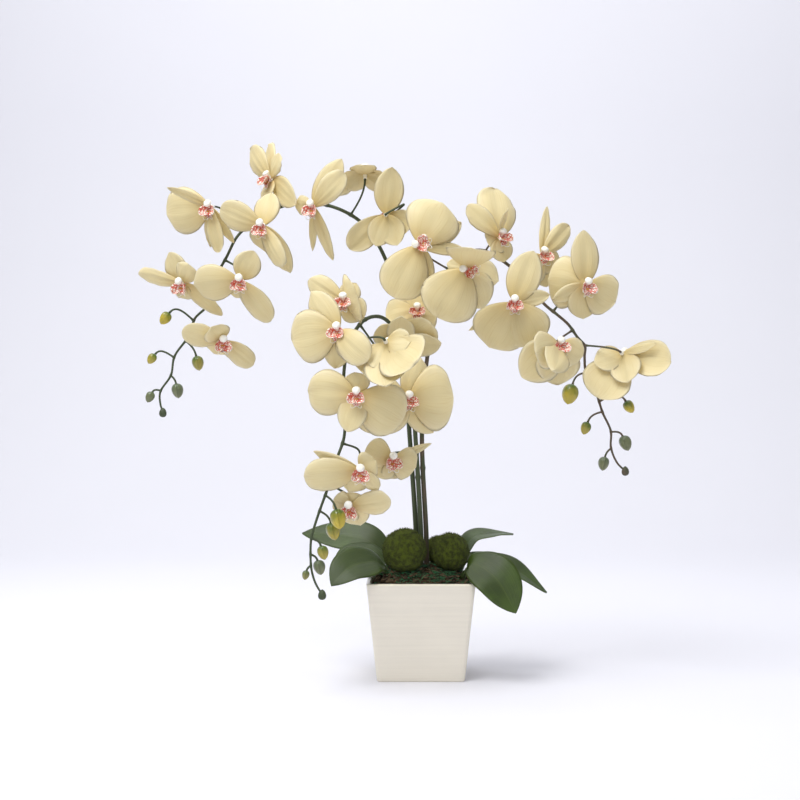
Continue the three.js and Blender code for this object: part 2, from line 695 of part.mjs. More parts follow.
/** The point of a rachis' middle line, as its tube runs, that is nearest to a target. */
function nearest(rachis, target) {
  const rings = rachis.getSpacedPoints(RACHIS_STEPS);
  const line = new THREE.Line3();
  const places = rings.slice(1).map((ring, k) => {
    line.set(rings[k], ring);
    return line.closestPointToPoint(target, true, new THREE.Vector3());
  });
  return places.reduce((best, p) => (p.distanceTo(target) < best.distanceTo(target) ? p : best));
}

function rachisOf(spike, deeper = 0) {
  const [x, y] = spike.foot.map((pitches) => pitches * STEM_PITCH);
  const lowest = POT_HEIGHT - STEM_DEPTH - deeper;
  const straight = [lowest, POT_HEIGHT - STEM_DEPTH / 2, POT_HEIGHT + MOUND, POT_HEIGHT + 3 * MOUND];
  const bottom = straight.map((z) => point(x, y, z));
  return new THREE.CatmullRomCurve3([...bottom, ...spike.path.map(placed)]);
}

function rachisSolid(spike, clearance) {
  const thick = STEM_DIAMETER / 2 + clearance;
  const thin = STEM_TIP_DIAMETER / 2 + clearance;
  const radiusAt = (t) => thick + (thin - thick) * t;
  return solid(tube(rachisOf(spike, clearance), RACHIS_STEPS, 5, radiusAt));
}

/** A pedicel from the rachis to a flower's neck or a bud's base, straight behind which it arrives. */
function pedicelSolid(root, joint, facing, via) {
  const bend = root.distanceTo(joint) * PEDICEL_BEND;
  const before = joint.clone().addScaledVector(facing, -bend);
  const leaving = before.clone().sub(root).multiplyScalar(0.5).add(root);
  const behind = joint.clone().addScaledVector(facing, -VIA_BEHIND);
  const curve = via
    ? new THREE.CatmullRomCurve3([root, placed(via), behind, joint])
    : new THREE.CubicBezierCurve3(root, leaving, before, joint);
  return solid(tube(curve, via ? 6 : 3, 4, () => PEDICEL_DIAMETER / 2));
}

function spikeSolid(spike, rachis, flowers, buds) {
  const pedicels = flowers.map(({ joint, facing, via }) => {
    const target = via ? placed(via) : joint.clone().addScaledVector(facing, -PEDICEL_BEHIND);
    return pedicelSolid(nearest(rachis, target), joint, facing, via);
  });
  const stalks = buds.map(({ root, joint, facing }) => pedicelSolid(root, joint, facing));
  const tipBud = solid(turned(budProfile(TIP_BUD_LENGTH), 5));
  const tip = rachis.getPoint(1).sub(point(0, 0, TIP_BUD_LENGTH / 2));
  return joined([rachisSolid(spike, 0), ...pedicels, ...stalks, tipBud.translate(...tip.toArray())]);
}

// ---------- assembly ----------

const balls = mossBalls();
const bores = [
  ...SPIKES.map((spike) => rachisSolid(spike, GAP)),
  ...LEAVES.map((leaf) => petiole(leaf, GAP)),
];
const hollows = joined([...bores, ...balls.map(mossSeat)]);

addMesh(orchid, "pot", geometryOf(potSolid()), POT_GLAZE);
addMesh(orchid, "potting_fill", geometryOf(fillSolid().subtract(joined(bores))), FILL);
addMesh(orchid, "bark_dressing", geometryOf(dressingSolid().subtract(hollows)), DRESSING);

for (const ball of balls) {
  const shape = new THREE.IcosahedronGeometry(ball.diameter / 2, 2);
  addMesh(orchid, ball.name, shape, MOSS).position.copy(ball.place);
}

for (const leaf of LEAVES) addMesh(orchid, leaf.name, geometryOf(leafSolid(leaf)), LEAF);

for (const spike of SPIKES) {
  const group = new THREE.Group();
  orchid.add(group);
  const rachis = rachisOf(spike);
  const flowers = flowersOf(spike);
  const buds = budsOf(spike, rachis);
  const stems = spikeSolid(spike, rachis, flowers, buds);
  addMesh(group, `${spike.name}_spike`, geometryOf(stems), STEM);
  for (const flower of flowers) {
    const mesh = addMesh(group, flower.name, geometryOf(flowerSolid(flower)), TEPAL);
    mesh.position.copy(flower.place);
    mesh.quaternion.copy(flower.turn);
  }
  for (const bud of buds) {
    const mesh = addMesh(group, bud.name, turned(budProfile(bud.length), 6), BUD);
    mesh.position.copy(bud.base);
    mesh.quaternion.setFromUnitVectors(point(0, 0, 1), bud.facing);
  }
}

export default orchid;
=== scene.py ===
"""A potted moth orchid: a square glazed pot with bark and moss, strap leaves, and three arching
flower spikes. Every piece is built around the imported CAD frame, in metres, +Z up, -Y the front."""

import math
import random

import bpy
import numpy as np
from bpy.props import FloatProperty, FloatVectorProperty, PointerProperty
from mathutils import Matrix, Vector, noise


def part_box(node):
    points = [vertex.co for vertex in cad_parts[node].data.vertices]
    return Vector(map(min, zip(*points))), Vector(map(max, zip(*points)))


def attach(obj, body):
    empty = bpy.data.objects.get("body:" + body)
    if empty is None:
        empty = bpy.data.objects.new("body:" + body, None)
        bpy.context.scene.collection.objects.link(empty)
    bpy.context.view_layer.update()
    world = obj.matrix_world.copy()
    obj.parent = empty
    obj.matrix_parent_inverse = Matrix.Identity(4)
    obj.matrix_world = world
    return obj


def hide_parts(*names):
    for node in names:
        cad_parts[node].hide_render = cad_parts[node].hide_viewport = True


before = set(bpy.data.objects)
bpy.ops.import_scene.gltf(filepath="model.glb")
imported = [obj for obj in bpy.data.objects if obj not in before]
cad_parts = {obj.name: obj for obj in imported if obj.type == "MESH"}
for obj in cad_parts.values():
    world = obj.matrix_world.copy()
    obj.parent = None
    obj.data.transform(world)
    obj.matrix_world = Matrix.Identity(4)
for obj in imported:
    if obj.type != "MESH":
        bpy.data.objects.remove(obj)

bl_info = {
    "name": "Potted orchid",
    "version": (1, 0, 0),
    "blender": (4, 5, 0),
    "location": "View3D > Sidebar > Orchid",
    "description": "Pot, leaves, spikes, flowers and buds of a potted moth orchid",
    "category": "Object",
}

MM = 0.001
UP = np.array([0.0, 0.0, 1.0])
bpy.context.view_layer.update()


def tone(red, green, blue):
    """A display colour, 0 to 255 a channel, as the linear one that Blender works in."""
    shares = [channel / 255 for channel in (red, green, blue)]
    return tuple(s / 12.92 if s <= 0.04045 else ((s + 0.055) / 1.055) ** 2.4 for s in shares)


# ---------- how the plant grows ----------

# The middle of the spray, where the three spikes part, above the pot's rim.
SPRAY_RISE = 0.171
STEM_PITCH = 7.6

# Each spike: where its foot is, in stem pitches; how brown its bark is; its line in millimetres from
# the spray; each flower's facing as (azimuth from the front, elevation) with the tepals that
# differ from TEPALS; and each bud's length with how ripe it is, from 0, grey-green, to 1, yellow.
SPIKES = {
    "left": {
        "foot": (-0.6, 0.6),
        "bark": 0.15,
        "path": [
            (-12.5, 8, -4), (-22, 17, 126), (-38, 24, 188), (-62, 24, 229), (-88, 20, 247),
            (-120, 20, 256), (-152, 20, 254), (-184, 12, 238), (-207, 4, 217), (-220, 2, 192),
            (-233, 4, 168), (-241, 2, 138), (-255, -4, 122), (-260, -8, 104), (-277, -10, 79),
            (-281, -10, 58), (-293, -10, 39), (-293, -10, 26), (-290, -10, 16),
        ],
        "flowers": [
            {
                "face": (176, 4), "via": (-18, -8, 251),
                "dorsal": {"turn": 98, "long": 1.15, "wide": 1.1},
                "left": {"turn": 213, "long": 0.6, "wide": 0.6},
                "right": {"turn": -41, "long": 1.1, "wide": 0.55},
                "left_sepal": {"turn": 250, "long": 0.8}, "right_sepal": {"turn": 288, "long": 0.8},
            },
            {
                "face": (180, 64),
                "dorsal": {"turn": 84, "long": 0.75, "curl": -30},
                "left": {"turn": 184, "lift": -5, "curl": -60, "long": 0.85, "wide": 0.7},
                "right": {"turn": -4, "lift": -5, "curl": -60, "long": 0.85, "wide": 0.7},
                "left_sepal": {"turn": 215, "lift": -5, "curl": -40, "long": 0.6},
                "right_sepal": {"turn": 325, "lift": -5, "curl": -40, "long": 0.6}, "lip": {"long": 0.6},
            },
            {
                "face": (-25, -12),
                "dorsal": {"turn": 58, "lift": -10, "long": 1.3, "wide": 0.95},
                "right": {"turn": 40, "wide": 0.5, "long": 1.05},
                "left": {"turn": 170, "long": 0.45, "wide": 0.4},
                "left_sepal": {"turn": 256, "wide": 0.35, "long": 1.1},
                "right_sepal": {"turn": 281, "wide": 0.5, "long": 1.35},
            },
            {
                "face": (-58, 5),
                "dorsal": {"turn": 130, "long": 1.35, "wide": 1.2},
                "left": {"turn": 134, "lift": 24, "long": 1.05, "wide": 0.55},
                "right": {"turn": 62, "long": 0.6, "wide": 0.5},
                "left_sepal": {"turn": 262, "lift": 20, "long": 0.6},
                "right_sepal": {"turn": 324, "long": 1.2},
            },
            {
                "face": (-20, -18),
                "dorsal": {"turn": 84, "lift": -30, "long": 0.85},
                "left": {"turn": 158, "wide": 0.6, "long": 1.05},
                "right": {"turn": 300, "wide": 0.4, "lift": 28},
                "left_sepal": {"turn": 252, "long": 0.9, "wide": 1.2, "lift": -25},
                "right_sepal": {"turn": 290, "wide": 0.9, "lift": -4, "long": 1.3},
            },
            {
                "face": (-20, -12),
                "dorsal": {"turn": 146, "wide": 0.35, "lift": 20, "curl": 20, "long": 1.15},
                "left": {"turn": 184, "lift": 6, "curl": -15, "wide": 0.95, "long": 1.1},
                "right": {"turn": 280, "wide": 0.35, "lift": 20},
                "left_sepal": {"turn": 258, "wide": 0.5}, "right_sepal": {"turn": 296, "wide": 0.4},
            },
            {
                "face": (-5, -22),
                "dorsal": {"turn": 62, "long": 0.75},
                "left": {"turn": 188, "lift": 5, "wide": 0.75, "long": 1.05},
                "right": {"turn": 302, "wide": 0.5, "long": 1.1},
                "left_sepal": {"turn": 250, "long": 0.5},
                "right_sepal": {"turn": 284, "wide": 0.5, "long": 0.9},
            },
            {
                "face": (-26, -24),
                "dorsal": {"turn": 112, "long": 0.8}, "left": {"turn": 166, "wide": 0.35, "long": 1.15},
                "right": {"turn": 58, "wide": 0.5, "long": 0.5}, "left_sepal": {"turn": 235, "long": 0.5},
                "right_sepal": {"turn": 308, "wide": 0.7, "long": 1.2},
            },
            {
                "face": (10, -26),
                "dorsal": {"turn": 124, "long": 0.6, "lift": 35},
                "left": {"turn": 168, "wide": 0.5, "long": 0.9},
                "right": {"turn": 318, "wide": 0.45, "long": 0.9},
                "left_sepal": {"turn": 245, "long": 0.45},
                "right_sepal": {"turn": 300, "wide": 0.5, "long": 0.7},
            },
        ],
        "buds": [(16, 0.8), (13, 0.7), (17, 0.5), (17, 0.1), (13, 0.1)],
    },
    "right": {
        "foot": (0.9, 0.3),
        "bark": 0.6,
        "path": [
            (2, 6, -4), (9, 14, 85), (23, 16, 155), (45, 14, 192), (68, 10, 201),
            (106, 6, 179), (141, -2, 138), (155, -6, 126), (167, -8, 115), (177, -8, 101),
            (186, -4, 91), (187, 6, 79), (189, 8, 60), (200, 0, 36), (206, -4, 16),
            (215, -6, -5), (215, -8, -24), (222, -8, -41), (231, -8, -50),
        ],
        "flowers": [
            {
                "face": (0, 15),
                "dorsal": {"turn": 100, "long": 0.8}, "left": {"turn": 196, "long": 0.7, "wide": 0.8},
                "right": {"turn": 0, "long": 0.45, "wide": 0.7}, "left_sepal": {"long": 0.7},
                "right_sepal": {"long": 0.6},
            },
            {
                "face": (4, 4),
                "dorsal": {"turn": 355, "long": 1.2, "wide": 0.5},
                "left": {"turn": 244, "long": 1.25, "wide": 0.95},
                "right": {"turn": 62, "wide": 1.1, "long": 1.05},
                "left_sepal": {"turn": 274, "long": 1.2},
                "right_sepal": {"turn": 30, "wide": 0.9, "long": 1.2}, "lip": {"turn": 2},
            },
            {
                "face": (0, -4),
                "dorsal": {"turn": 165, "long": 0.5, "wide": 0.6},
                "left": {"turn": 238, "long": 1.2, "wide": 1.15},
                "right": {"turn": 84, "lift": 64, "curl": 10, "long": 1.1, "wide": 0.95},
                "left_sepal": {"turn": 292, "wide": 1.35},
                "right_sepal": {"turn": 340, "wide": 1.1, "long": 0.8}, "lip": {"turn": -6},
            },
            {
                "face": (28, 10),
                "dorsal": {"turn": 108, "wide": 0.3, "lift": 45, "curl": 20, "long": 0.9},
                "right": {"turn": 80, "wide": 0.9, "lift": -4, "long": 1.3},
                "left": {"turn": 138, "wide": 0.5}, "left_sepal": {"turn": 225, "long": 0.35},
                "right_sepal": {"turn": 282, "long": 0.6},
            },
            {
                "face": (-4, -6),
                "dorsal": {"turn": 70, "wide": 1.25, "long": 1.3},
                "left": {"turn": 240, "lift": 6, "wide": 1.1, "long": 1.12},
                "right": {"turn": 290, "lift": 6, "wide": 1.05},
                "left_sepal": {"turn": 212, "wide": 0.35, "long": 1.3},
                "right_sepal": {"turn": 12, "long": 0.85, "wide": 0.6},
            },
            {
                "face": (24, 2),
                "dorsal": {"turn": 76, "wide": 0.45, "long": 1.3}, "right": {"turn": 44, "wide": 0.42},
                "left": {"turn": 232, "long": 0.6, "wide": 0.7}, "left_sepal": {"turn": 285, "long": 0.8},
                "right_sepal": {"turn": 330, "long": 0.65},
            },
            {
                "face": (16, -10),
                "dorsal": {"turn": 92, "wide": 1.1, "long": 1.3},
                "left": {"turn": 178, "lift": -24, "wide": 1.05, "long": 0.85},
                "right": {"turn": -26, "long": 0.8, "wide": 0.85},
                "left_sepal": {"turn": 208, "wide": 0.6, "long": 0.85},
                "right_sepal": {"turn": 274, "wide": 1.3, "long": 0.85},
            },
            {
                "face": (16, 0),
                "dorsal": {"turn": 232, "lift": 62, "curl": -30, "long": 1.2, "wide": 1.15},
                "left": {"turn": 196, "lift": 48, "curl": -30, "wide": 0.75, "long": 0.9},
                "right": {"turn": 334, "lift": 8, "wide": 0.6, "long": 0.6},
                "left_sepal": {"turn": 222, "wide": 1.6, "long": 1.15},
                "right_sepal": {"turn": 272, "wide": 1.7, "long": 0.95},
            },
            {
                "face": (152, -14),
                "dorsal": {"turn": 168, "wide": 0.35, "long": 0.9},
                "left": {"turn": 190, "wide": 0.75, "long": 1.12},
                "right": {"turn": 296, "wide": 1.05, "long": 1.1},
                "left_sepal": {"turn": -22, "long": 0.7},
                "right_sepal": {"turn": 250, "long": 0.8, "wide": 1.2},
            },
        ],
        "buds": [(24, 0.75), (16, 0.9), (15, 0.6), (18, 0.1), (16, 0.1)],
    },
    "front": {
        "foot": (0.1, -0.5),
        "bark": 0.1,
        "path": [
            (-6, -1, -4), (-10, -4, 50), (-22, -14, 96), (-40, -34, 120), (-60, -64, 118),
            (-76, -92, 94), (-82, -112, 60), (-81, -125, 20), (-81, -133, -8), (-89, -142, -33),
            (-95, -145, -54), (-105, -147, -82), (-110, -148, -97), (-114, -148, -111), (-115, -148, -125),
            (-114, -148, -144), (-110, -148, -158), (-103, -148, -170),
        ],
        "flowers": [
            {
                "face": (178, 35), "via": (-40, -66, 80),
                "dorsal": {"turn": 92}, "left": {"turn": 50, "long": 0.7, "wide": 0.6},
                "right": {"turn": 137, "long": 0.9, "wide": 0.8}, "left_sepal": {"turn": 30, "long": 0.5},
                "right_sepal": {"turn": 165},
            },
            {
                "face": (166, -22), "via": (-56, -136, 94),
                "dorsal": {"turn": 262, "wide": 1.5, "long": 1.25, "curl": -25},
                "left": {"turn": 222, "long": 1.05, "lift": -6, "curl": -35},
                "right": {"turn": 294, "wide": 0.8, "long": 0.8, "lift": 8},
                "left_sepal": {"turn": 184, "long": 0.6}, "right_sepal": {"turn": 286, "long": 0.7},
            },
            {
                "face": (10, 0),
                "dorsal": {"turn": 70}, "left": {"turn": 190, "long": 0.6},
                "right": {"turn": 2, "long": 0.95, "wide": 1.25},
            },
            {
                "face": (-10, 5),
                "dorsal": {"turn": 60, "long": 0.5, "wide": 0.8},
                "left": {"turn": 148, "wide": 0.45, "long": 0.9}, "right": {"turn": 20, "long": 0.3},
                "left_sepal": {"turn": 200, "long": 0.6}, "right_sepal": {"turn": 318, "long": 0.6},
            },
            {
                "face": (-14, 0),
                "dorsal": {"turn": 128, "long": 1.15}, "left": {"turn": 190},
                "right": {"turn": 320, "lift": 50, "curl": -60, "wide": 0.6, "long": 1.05},
                "left_sepal": {"turn": 262, "long": 0.85}, "right_sepal": {"turn": 306, "long": 0.9},
            },
            {
                "face": (-6, -4),
                "dorsal": {"turn": 100, "long": 0.5}, "left": {"turn": 176, "wide": 0.85},
                "right": {"turn": 330, "long": 1.05},
                "left_sepal": {"turn": 256, "long": 0.85, "lift": 18}, "right_sepal": {"turn": 295},
            },
            {
                "face": (14, -8),
                "dorsal": {"turn": 18, "wide": 0.3, "long": 1.05},
                "left": {"turn": 160, "long": 0.6, "wide": 0.6},
                "right": {"turn": -18, "long": 0.55, "wide": 0.65},
                "left_sepal": {"turn": 230, "long": 0.55}, "right_sepal": {"turn": 290, "long": 0.5},
            },
            {
                "face": (4, -16), "via": (-66, -132, -22),
                "dorsal": {"turn": 160, "wide": 0.4, "long": 1.1},
                "left": {"turn": 188, "wide": 0.65, "long": 1.12},
                "right": {"turn": 312, "wide": 0.3, "long": 0.55},
                "left_sepal": {"turn": 245, "long": 0.6}, "right_sepal": {"turn": 30, "long": 0.4},
            },
            {
                "face": (-10, -25),
                "dorsal": {"turn": 95, "long": 0.3}, "left": {"turn": 155, "long": 0.35, "wide": 0.45},
                "right": {"turn": 8, "wide": 0.5, "long": 0.85},
                "left_sepal": {"turn": 235, "long": 0.45}, "right_sepal": {"turn": 285, "long": 0.6},
            },
        ],
        "buds": [(21, 0.9), (19, 0.7), (15, 0.6), (16, 0.1), (10, 0.3)],
    },
}

# Leaves, in degrees and millimetres: heading, inset of the blade's start from the rim, height above
# the rim where it crosses it, tip as (past the rim, above it), width, and tilt to the front.
LEAVES = {
    "leaf_left_back": (164, 24, 40, (80, 46), 44, 42),
    "leaf_left": (186, 20, 26, (38, 20), 40, 30),
    "leaf_left_front": (217, 25, 22, (47, 0), 46, 38),
    "leaf_right_back": (20, 14, 42, (52, 45), 40, 8),
    "leaf_right": (-2, 12, 22, (83, -17), 36, 25),
    "leaf_right_front": (-35, 10, 20, (52, -30), 52, 40),
}
LEAF_ROOT = 15
LEAF_ARCH = 3
LEAF_STEPS = 400

# The middle form of each tepal, in millimetres and degrees: how far round the flower it turns, how
# far its root lifts to the front and its blade curls, how its width grows from root to end, how far
# back it sits, how it cups across, and how its edges fall back from a dome.
SEPAL = {"length": 47, "width": 31, "root": 0.7, "end": 0.7, "back": 2.2, "cup": 0.1, "dome": 0.04}
PETAL = {"length": 52, "width": 57, "root": 0.8, "end": 0.5, "back": 0, "cup": -0.12, "dome": 0.07}
TEPALS = {
    "dorsal": {**SEPAL, "turn": 90, "lift": -3, "curl": -14},
    "left_sepal": {**SEPAL, "turn": 232, "lift": -4, "curl": -12},
    "right_sepal": {**SEPAL, "turn": 308, "lift": -4, "curl": -12},
    "left": {**PETAL, "turn": 168, "lift": 10, "curl": -26},
    "right": {**PETAL, "turn": 12, "lift": 10, "curl": -26},
}
LIP = {
    "length": 13, "width": 11, "root": 0.45, "end": 0.5, "back": 0, "cup": 0.5,
    "turn": 270, "lift": 46, "curl": -50,
}
SIDE_LOBE = {
    "length": 15, "width": 12, "root": 0.5, "end": 0.5, "back": -2, "cup": 0.9,
    "lift": 34, "curl": 20,
}
LOBE_SPREAD = 52

# Radii and heights: the callus's knobs in millimetres; the neck, as the share of its length behind
# the flower and of the column's radius; the column, as the share of its radius and in millimetres.
KNOB = [(0, -1.6), (1.0, -1.2), (1.5, 0), (1.0, 1.3), (0, 1.8)]
NECK = [(1, 0.5), (0.7, 0.55), (0.3, 0.7), (0, 0.95)]
CAP = [
    (0, -1), (0.5, -0.85), (0.62, 0), (0.66, 3), (0.86, 5.4), (1.16, 7.6), (1.1, 9.4), (0.7, 10.6),
    (0, 11),
]


# ---------- settings ----------

def length(name, description, millimetres):
    return FloatProperty(
        name=name, description=description, default=millimetres * MM, min=0, unit="LENGTH"
    )


def colour(name, description, red, green, blue):
    return FloatVectorProperty(
        name=name, description=description, default=tone(red, green, blue), subtype="COLOR",
        size=3, min=0, max=1,
    )


class OrchidPotSettings(bpy.types.PropertyGroup):
    corner: length("Corner", "Radius of the pot's upright corners", 5)
    rounding: length("Rim rounding", "Radius of the rim's edge and of the foot's edge", 1.6)
    wall: length("Wall", "Thickness of the wall", 5)
    glaze: colour("Glaze", "Colour of the glaze", 243, 236, 219)
    # Painted highlight: the top of the pot is painted in this lighter copy of the glaze.
    rim: colour("Rim", "Colour of the glaze where it thins over the rim", 253, 246, 224)


class OrchidGroundSettings(bpy.types.PropertyGroup):
    mound: length("Mound", "Middle of the dressing above its edge", 15)
    below: length("Below the rim", "How far under the rim the dressing meets the wall", 3)
    chip: length("Chip", "Length of a bark chip", 11)
    fibre: length("Fibre", "Length of a moss fibre", 3.2)
    bark: colour("Bark", "Colour of the bark", 84, 68, 46)
    green: colour("Green fibre", "Colour of the dyed moss in the dressing", 66, 130, 84)
    moss: colour("Moss", "Colour of the moss balls", 80, 91, 17)


class OrchidLeafSettings(bpy.types.PropertyGroup):
    thickness: length("Thickness", "Greatest thickness of a leaf", 2.2)
    petiole: length("Petiole", "Diameter of a leaf's stub", 7)
    green: colour("Green", "Colour of a leaf's upper side", 58, 78, 20)
    # The leaf's own paler green on its edges and in its streaks, and a painted highlight along its midrib.
    edge: colour("Edge", "Colour of a leaf's edge and midrib", 96, 112, 44)


class OrchidSpikeSettings(bpy.types.PropertyGroup):
    foot: length("Foot", "Diameter of a spike at its foot", 6.2)
    tip: length("Tip", "Diameter of a spike at its tip", 2.2)
    pedicel: length("Pedicel", "Diameter of a flower's or a bud's stalk", 2.6)
    green: colour("Green", "Colour of a green spike", 62, 74, 46)
    brown: colour("Brown", "Colour where a spike is woody", 92, 78, 62)


class OrchidFlowerSettings(bpy.types.PropertyGroup):
    thickness: length("Thickness", "Thickness of a petal", 0.9)
    ruffle: length("Ruffle", "How far a petal's rim waves", 1.3)
    column: length("Column", "Diameter of the column", 7.6)
    neck: length("Neck", "Length of the neck behind a flower", 8)
    petal: colour("Petal", "Colour of a petal", 242, 228, 178)
    # The lip's own white, and on the tepals a painted highlight that pales them towards their rims and
    # ends.
    rim: colour("Rim", "Colour of a petal's rim", 254, 250, 232)
    # Painted shade as well as vein colour: the tepals darken to this colour towards their roots.
    vein_and_root_shade: colour("Throat", "Colour of a petal's root and veins", 212, 182, 100)
    net: colour("Net", "Colour of the net on the lip", 206, 76, 52)
    callus: colour("Callus", "Colour of the callus", 208, 150, 30)


class OrchidStageSettings(bpy.types.PropertyGroup):
    floor: colour("Floor", "Colour of the floor and the backdrop", 238, 238, 244)
    key: FloatProperty(name="Key", description="Power of the light overhead", default=30, unit="POWER")
    fill: FloatProperty(name="Fill", description="Power of the light in front", default=4, unit="POWER")
    wash: FloatProperty(name="Wash", description="Power of the light behind", default=30, unit="POWER")
    sky: FloatProperty(name="Sky", description="Strength of the light all round", default=0.42)


# ---------- shader maths ----------

class Wire:
    """A number's socket in a material. Arithmetic on it adds Math nodes."""

    def __init__(self, finish, socket):
        self.finish = finish
        self.socket = socket

    def maths(self, operation, *values):
        made = self.finish.node("ShaderNodeMath", {"operation": operation}, dict(enumerate(values)))
        return Wire(self.finish, made.outputs[0])

    def __add__(self, other):
        return self.maths("ADD", self, other)

    __radd__ = __add__

    def __sub__(self, other):
        return self.maths("SUBTRACT", self, other)

    def __rsub__(self, other):
        return self.maths("SUBTRACT", other, self)

    def __mul__(self, other):
        return self.maths("MULTIPLY", self, other)

    __rmul__ = __mul__

    def __abs__(self):
        return self.maths("ABSOLUTE", self)

    def band(self, low, high):
        """0 below `low` and 1 above `high`, with a soft step between, or the other way round."""
        ends = {"From Min": low, "From Max": high, 0: self}
        made = self.finish.node("ShaderNodeMapRange", {"interpolation_type": "SMOOTHSTEP"}, ends)
        return Wire(self.finish, made.outputs[0])


class Finish:
    """A material, and the nodes of its shader."""

    def __init__(self, name, base, roughness, **steady):
        self.material = bpy.data.materials.new(name)
        self.material.use_nodes = True
        self.material.diffuse_color = (*base, 1)
        self.tree = self.material.node_tree
        self.tree.nodes.clear()
        values = {"Base Color": (*base, 1), "Roughness": roughness}
        values.update({key.replace("_", " "): value for key, value in steady.items()})
        self.shader = self.node("ShaderNodeBsdfPrincipled", {}, values)
        self.surface(self.shader.outputs[0])

    def surface(self, socket):
        output = self.node("ShaderNodeOutputMaterial", {"is_active_output": True}, {})
        self.tree.links.new(socket, output.inputs["Surface"])

    def node(self, kind, settings, values):
        made = self.tree.nodes.new(kind)
        for key, value in settings.items():
            setattr(made, key, value)
        for key, value in values.items():
            if isinstance(value, Wire):
                self.tree.links.new(value.socket, made.inputs[key])
            else:
                made.inputs[key].default_value = value
        return made

    def feed(self, name, wire):
        self.tree.links.new(wire.socket, self.shader.inputs[name])

    def place(self, stretch=(1, 1, 1)):
        """The surface's own coordinates in metres, scaled along each axis."""
        source = self.node("ShaderNodeTexCoord", {}, {})
        values = {0: Wire(self, source.outputs["Object"]), 1: stretch}
        made = self.node("ShaderNodeVectorMath", {"operation": "MULTIPLY"}, values)
        return Wire(self, made.outputs[0])

    def split(self, vector):
        made = self.node("ShaderNodeSeparateXYZ", {}, {0: vector})
        return [Wire(self, output) for output in made.outputs]

    def blade(self):
        """How far along a blade, and how far across it from its middle, both from 0 to 1."""
        source = self.node("ShaderNodeUVMap", {"uv_map": "Blade"}, {})
        along, across, _ = self.split(Wire(self, source.outputs[0]))
        return along, abs(across * 2 - 1), across

    def cloud(self, vector, scale, detail=2.0, roughness=0.5):
        values = {"Vector": vector, "Scale": scale, "Detail": detail, "Roughness": roughness}
        return Wire(self, self.node("ShaderNodeTexNoise", {}, values).outputs[0])

    def cells(self, vector, scale, feature="F1"):
        values = {"Vector": vector, "Scale": scale}
        made = self.node("ShaderNodeTexVoronoi", {"feature": feature}, values)
        return Wire(self, made.outputs["Distance"])

    def vector(self, x, y, z):
        made = self.node("ShaderNodeCombineXYZ", {}, {0: x, 1: y, 2: z})
        return Wire(self, made.outputs[0])

    def mix(self, factor, first, second):
        """A colour between two, each an RGB tuple or a wire."""
        ends = [c if isinstance(c, Wire) else (*c, 1) for c in (first, second)]
        values = {0: factor, 6: ends[0], 7: ends[1]}
        made = self.node("ShaderNodeMix", {"data_type": "RGBA", "clamp_factor": True}, values)
        return Wire(self, made.outputs[2])

    def bump(self, height, distance, strength=1.0):
        values = {"Height": height, "Distance": distance, "Strength": strength}
        self.feed("Normal", Wire(self, self.node("ShaderNodeBump", {}, values).outputs[0]))

    def glow_through(self, share, through):
        """Lets `share` of the light that falls on the far side through, in the colour `through`."""
        far = self.node("ShaderNodeBsdfTranslucent", {}, {"Color": (*through, 1)})
        values = {0: share, 1: Wire(self, self.shader.outputs[0]), 2: Wire(self, far.outputs[0])}
        both = self.node("ShaderNodeMixShader", {}, values)
        self.surface(both.outputs[0])


def shade(base, share):
    """A colour with that share of its light, which may be over 1."""
    return tuple(channel * share for channel in base)


# ---------- finishes ----------

def glaze_finish(settings, top):
    made = Finish("glaze", settings.glaze, 0.3, Coat_Weight=0.25, Coat_Roughness=0.12)
    brushed = made.cloud(made.place((6, 6, 420)), 1.0, 3, 0.65)
    patches = made.cloud(made.place(), 22, 2)
    height = made.split(made.place())[2]
    body = made.mix(brushed.band(0.35, 0.7), shade(settings.glaze, 0.965), settings.glaze)
    body = made.mix(patches.band(0.45, 0.75) * 0.35, body, shade(settings.glaze, 1.05))
    # Painted highlight: the glaze turns to the lighter rim colour over the top few millimetres.
    made.feed("Base Color", made.mix(height.band(top - 0.003, top - 0.0008), body, settings.rim))
    made.feed("Roughness", 0.24 + patches * 0.16)
    made.bump(brushed + patches * 0.5, 0.0005, 0.55)
    return made.material


def bark_finish(settings):
    made = Finish("bark", settings.bark, 0.85)
    grain = made.cloud(made.place((260, 260, 900)), 1.0, 4, 0.7)
    piece = made.cloud(made.place(), 95, 1)
    body = made.mix(piece.band(0.35, 0.65), shade(settings.bark, 0.45), shade(settings.bark, 1.35))
    made.feed("Base Color", made.mix(grain.band(0.45, 0.75), body, shade(settings.bark, 2.1)))
    made.bump(grain, 0.0009, 0.9)
    return made.material


def fibre_finish(name, base):
    made = Finish(name, base, 0.95, Sheen_Weight=0.04)
    clump = made.cloud(made.place(), 240, 3)
    strand = made.cloud(made.place(), 1400, 1)
    body = made.mix(clump.band(0.36, 0.66), shade(base, 0.35), shade(base, 1.3))
    made.feed("Base Color", made.mix(strand.band(0.4, 0.7) * 0.5, body, shade(base, 1.9)))
    made.feed("Roughness", 0.85 + strand * 0.15)
    made.bump(strand + clump, 0.0012, 0.8)
    return made.material


def leaf_finish(settings):
    made = Finish("leaf", settings.green, 0.45, Coat_Weight=0.05, Coat_Roughness=0.3)
    along, off, across = made.blade()
    streaks = made.cloud(made.vector(along * 2.2, across * 46, 0.0), 1.0, 3, 0.6)
    blotch = made.cloud(made.place(), 34, 2)
    body = made.mix(blotch.band(0.35, 0.7), shade(settings.green, 0.72), shade(settings.green, 1.18))
    body = made.mix(streaks.band(0.5, 0.8) * 0.45, body, settings.edge)
    rim = off.band(0.93, 1.0) * 0.6
    # Painted highlight: a faint paler line along the midrib.
    midrib = off.band(0.05, 0.0) * 0.2
    made.feed("Base Color", made.mix(rim + midrib, body, settings.edge))
    made.feed("Roughness", 0.34 + streaks * 0.2)
    made.bump(streaks, 0.0006, 0.6)
    return made.material


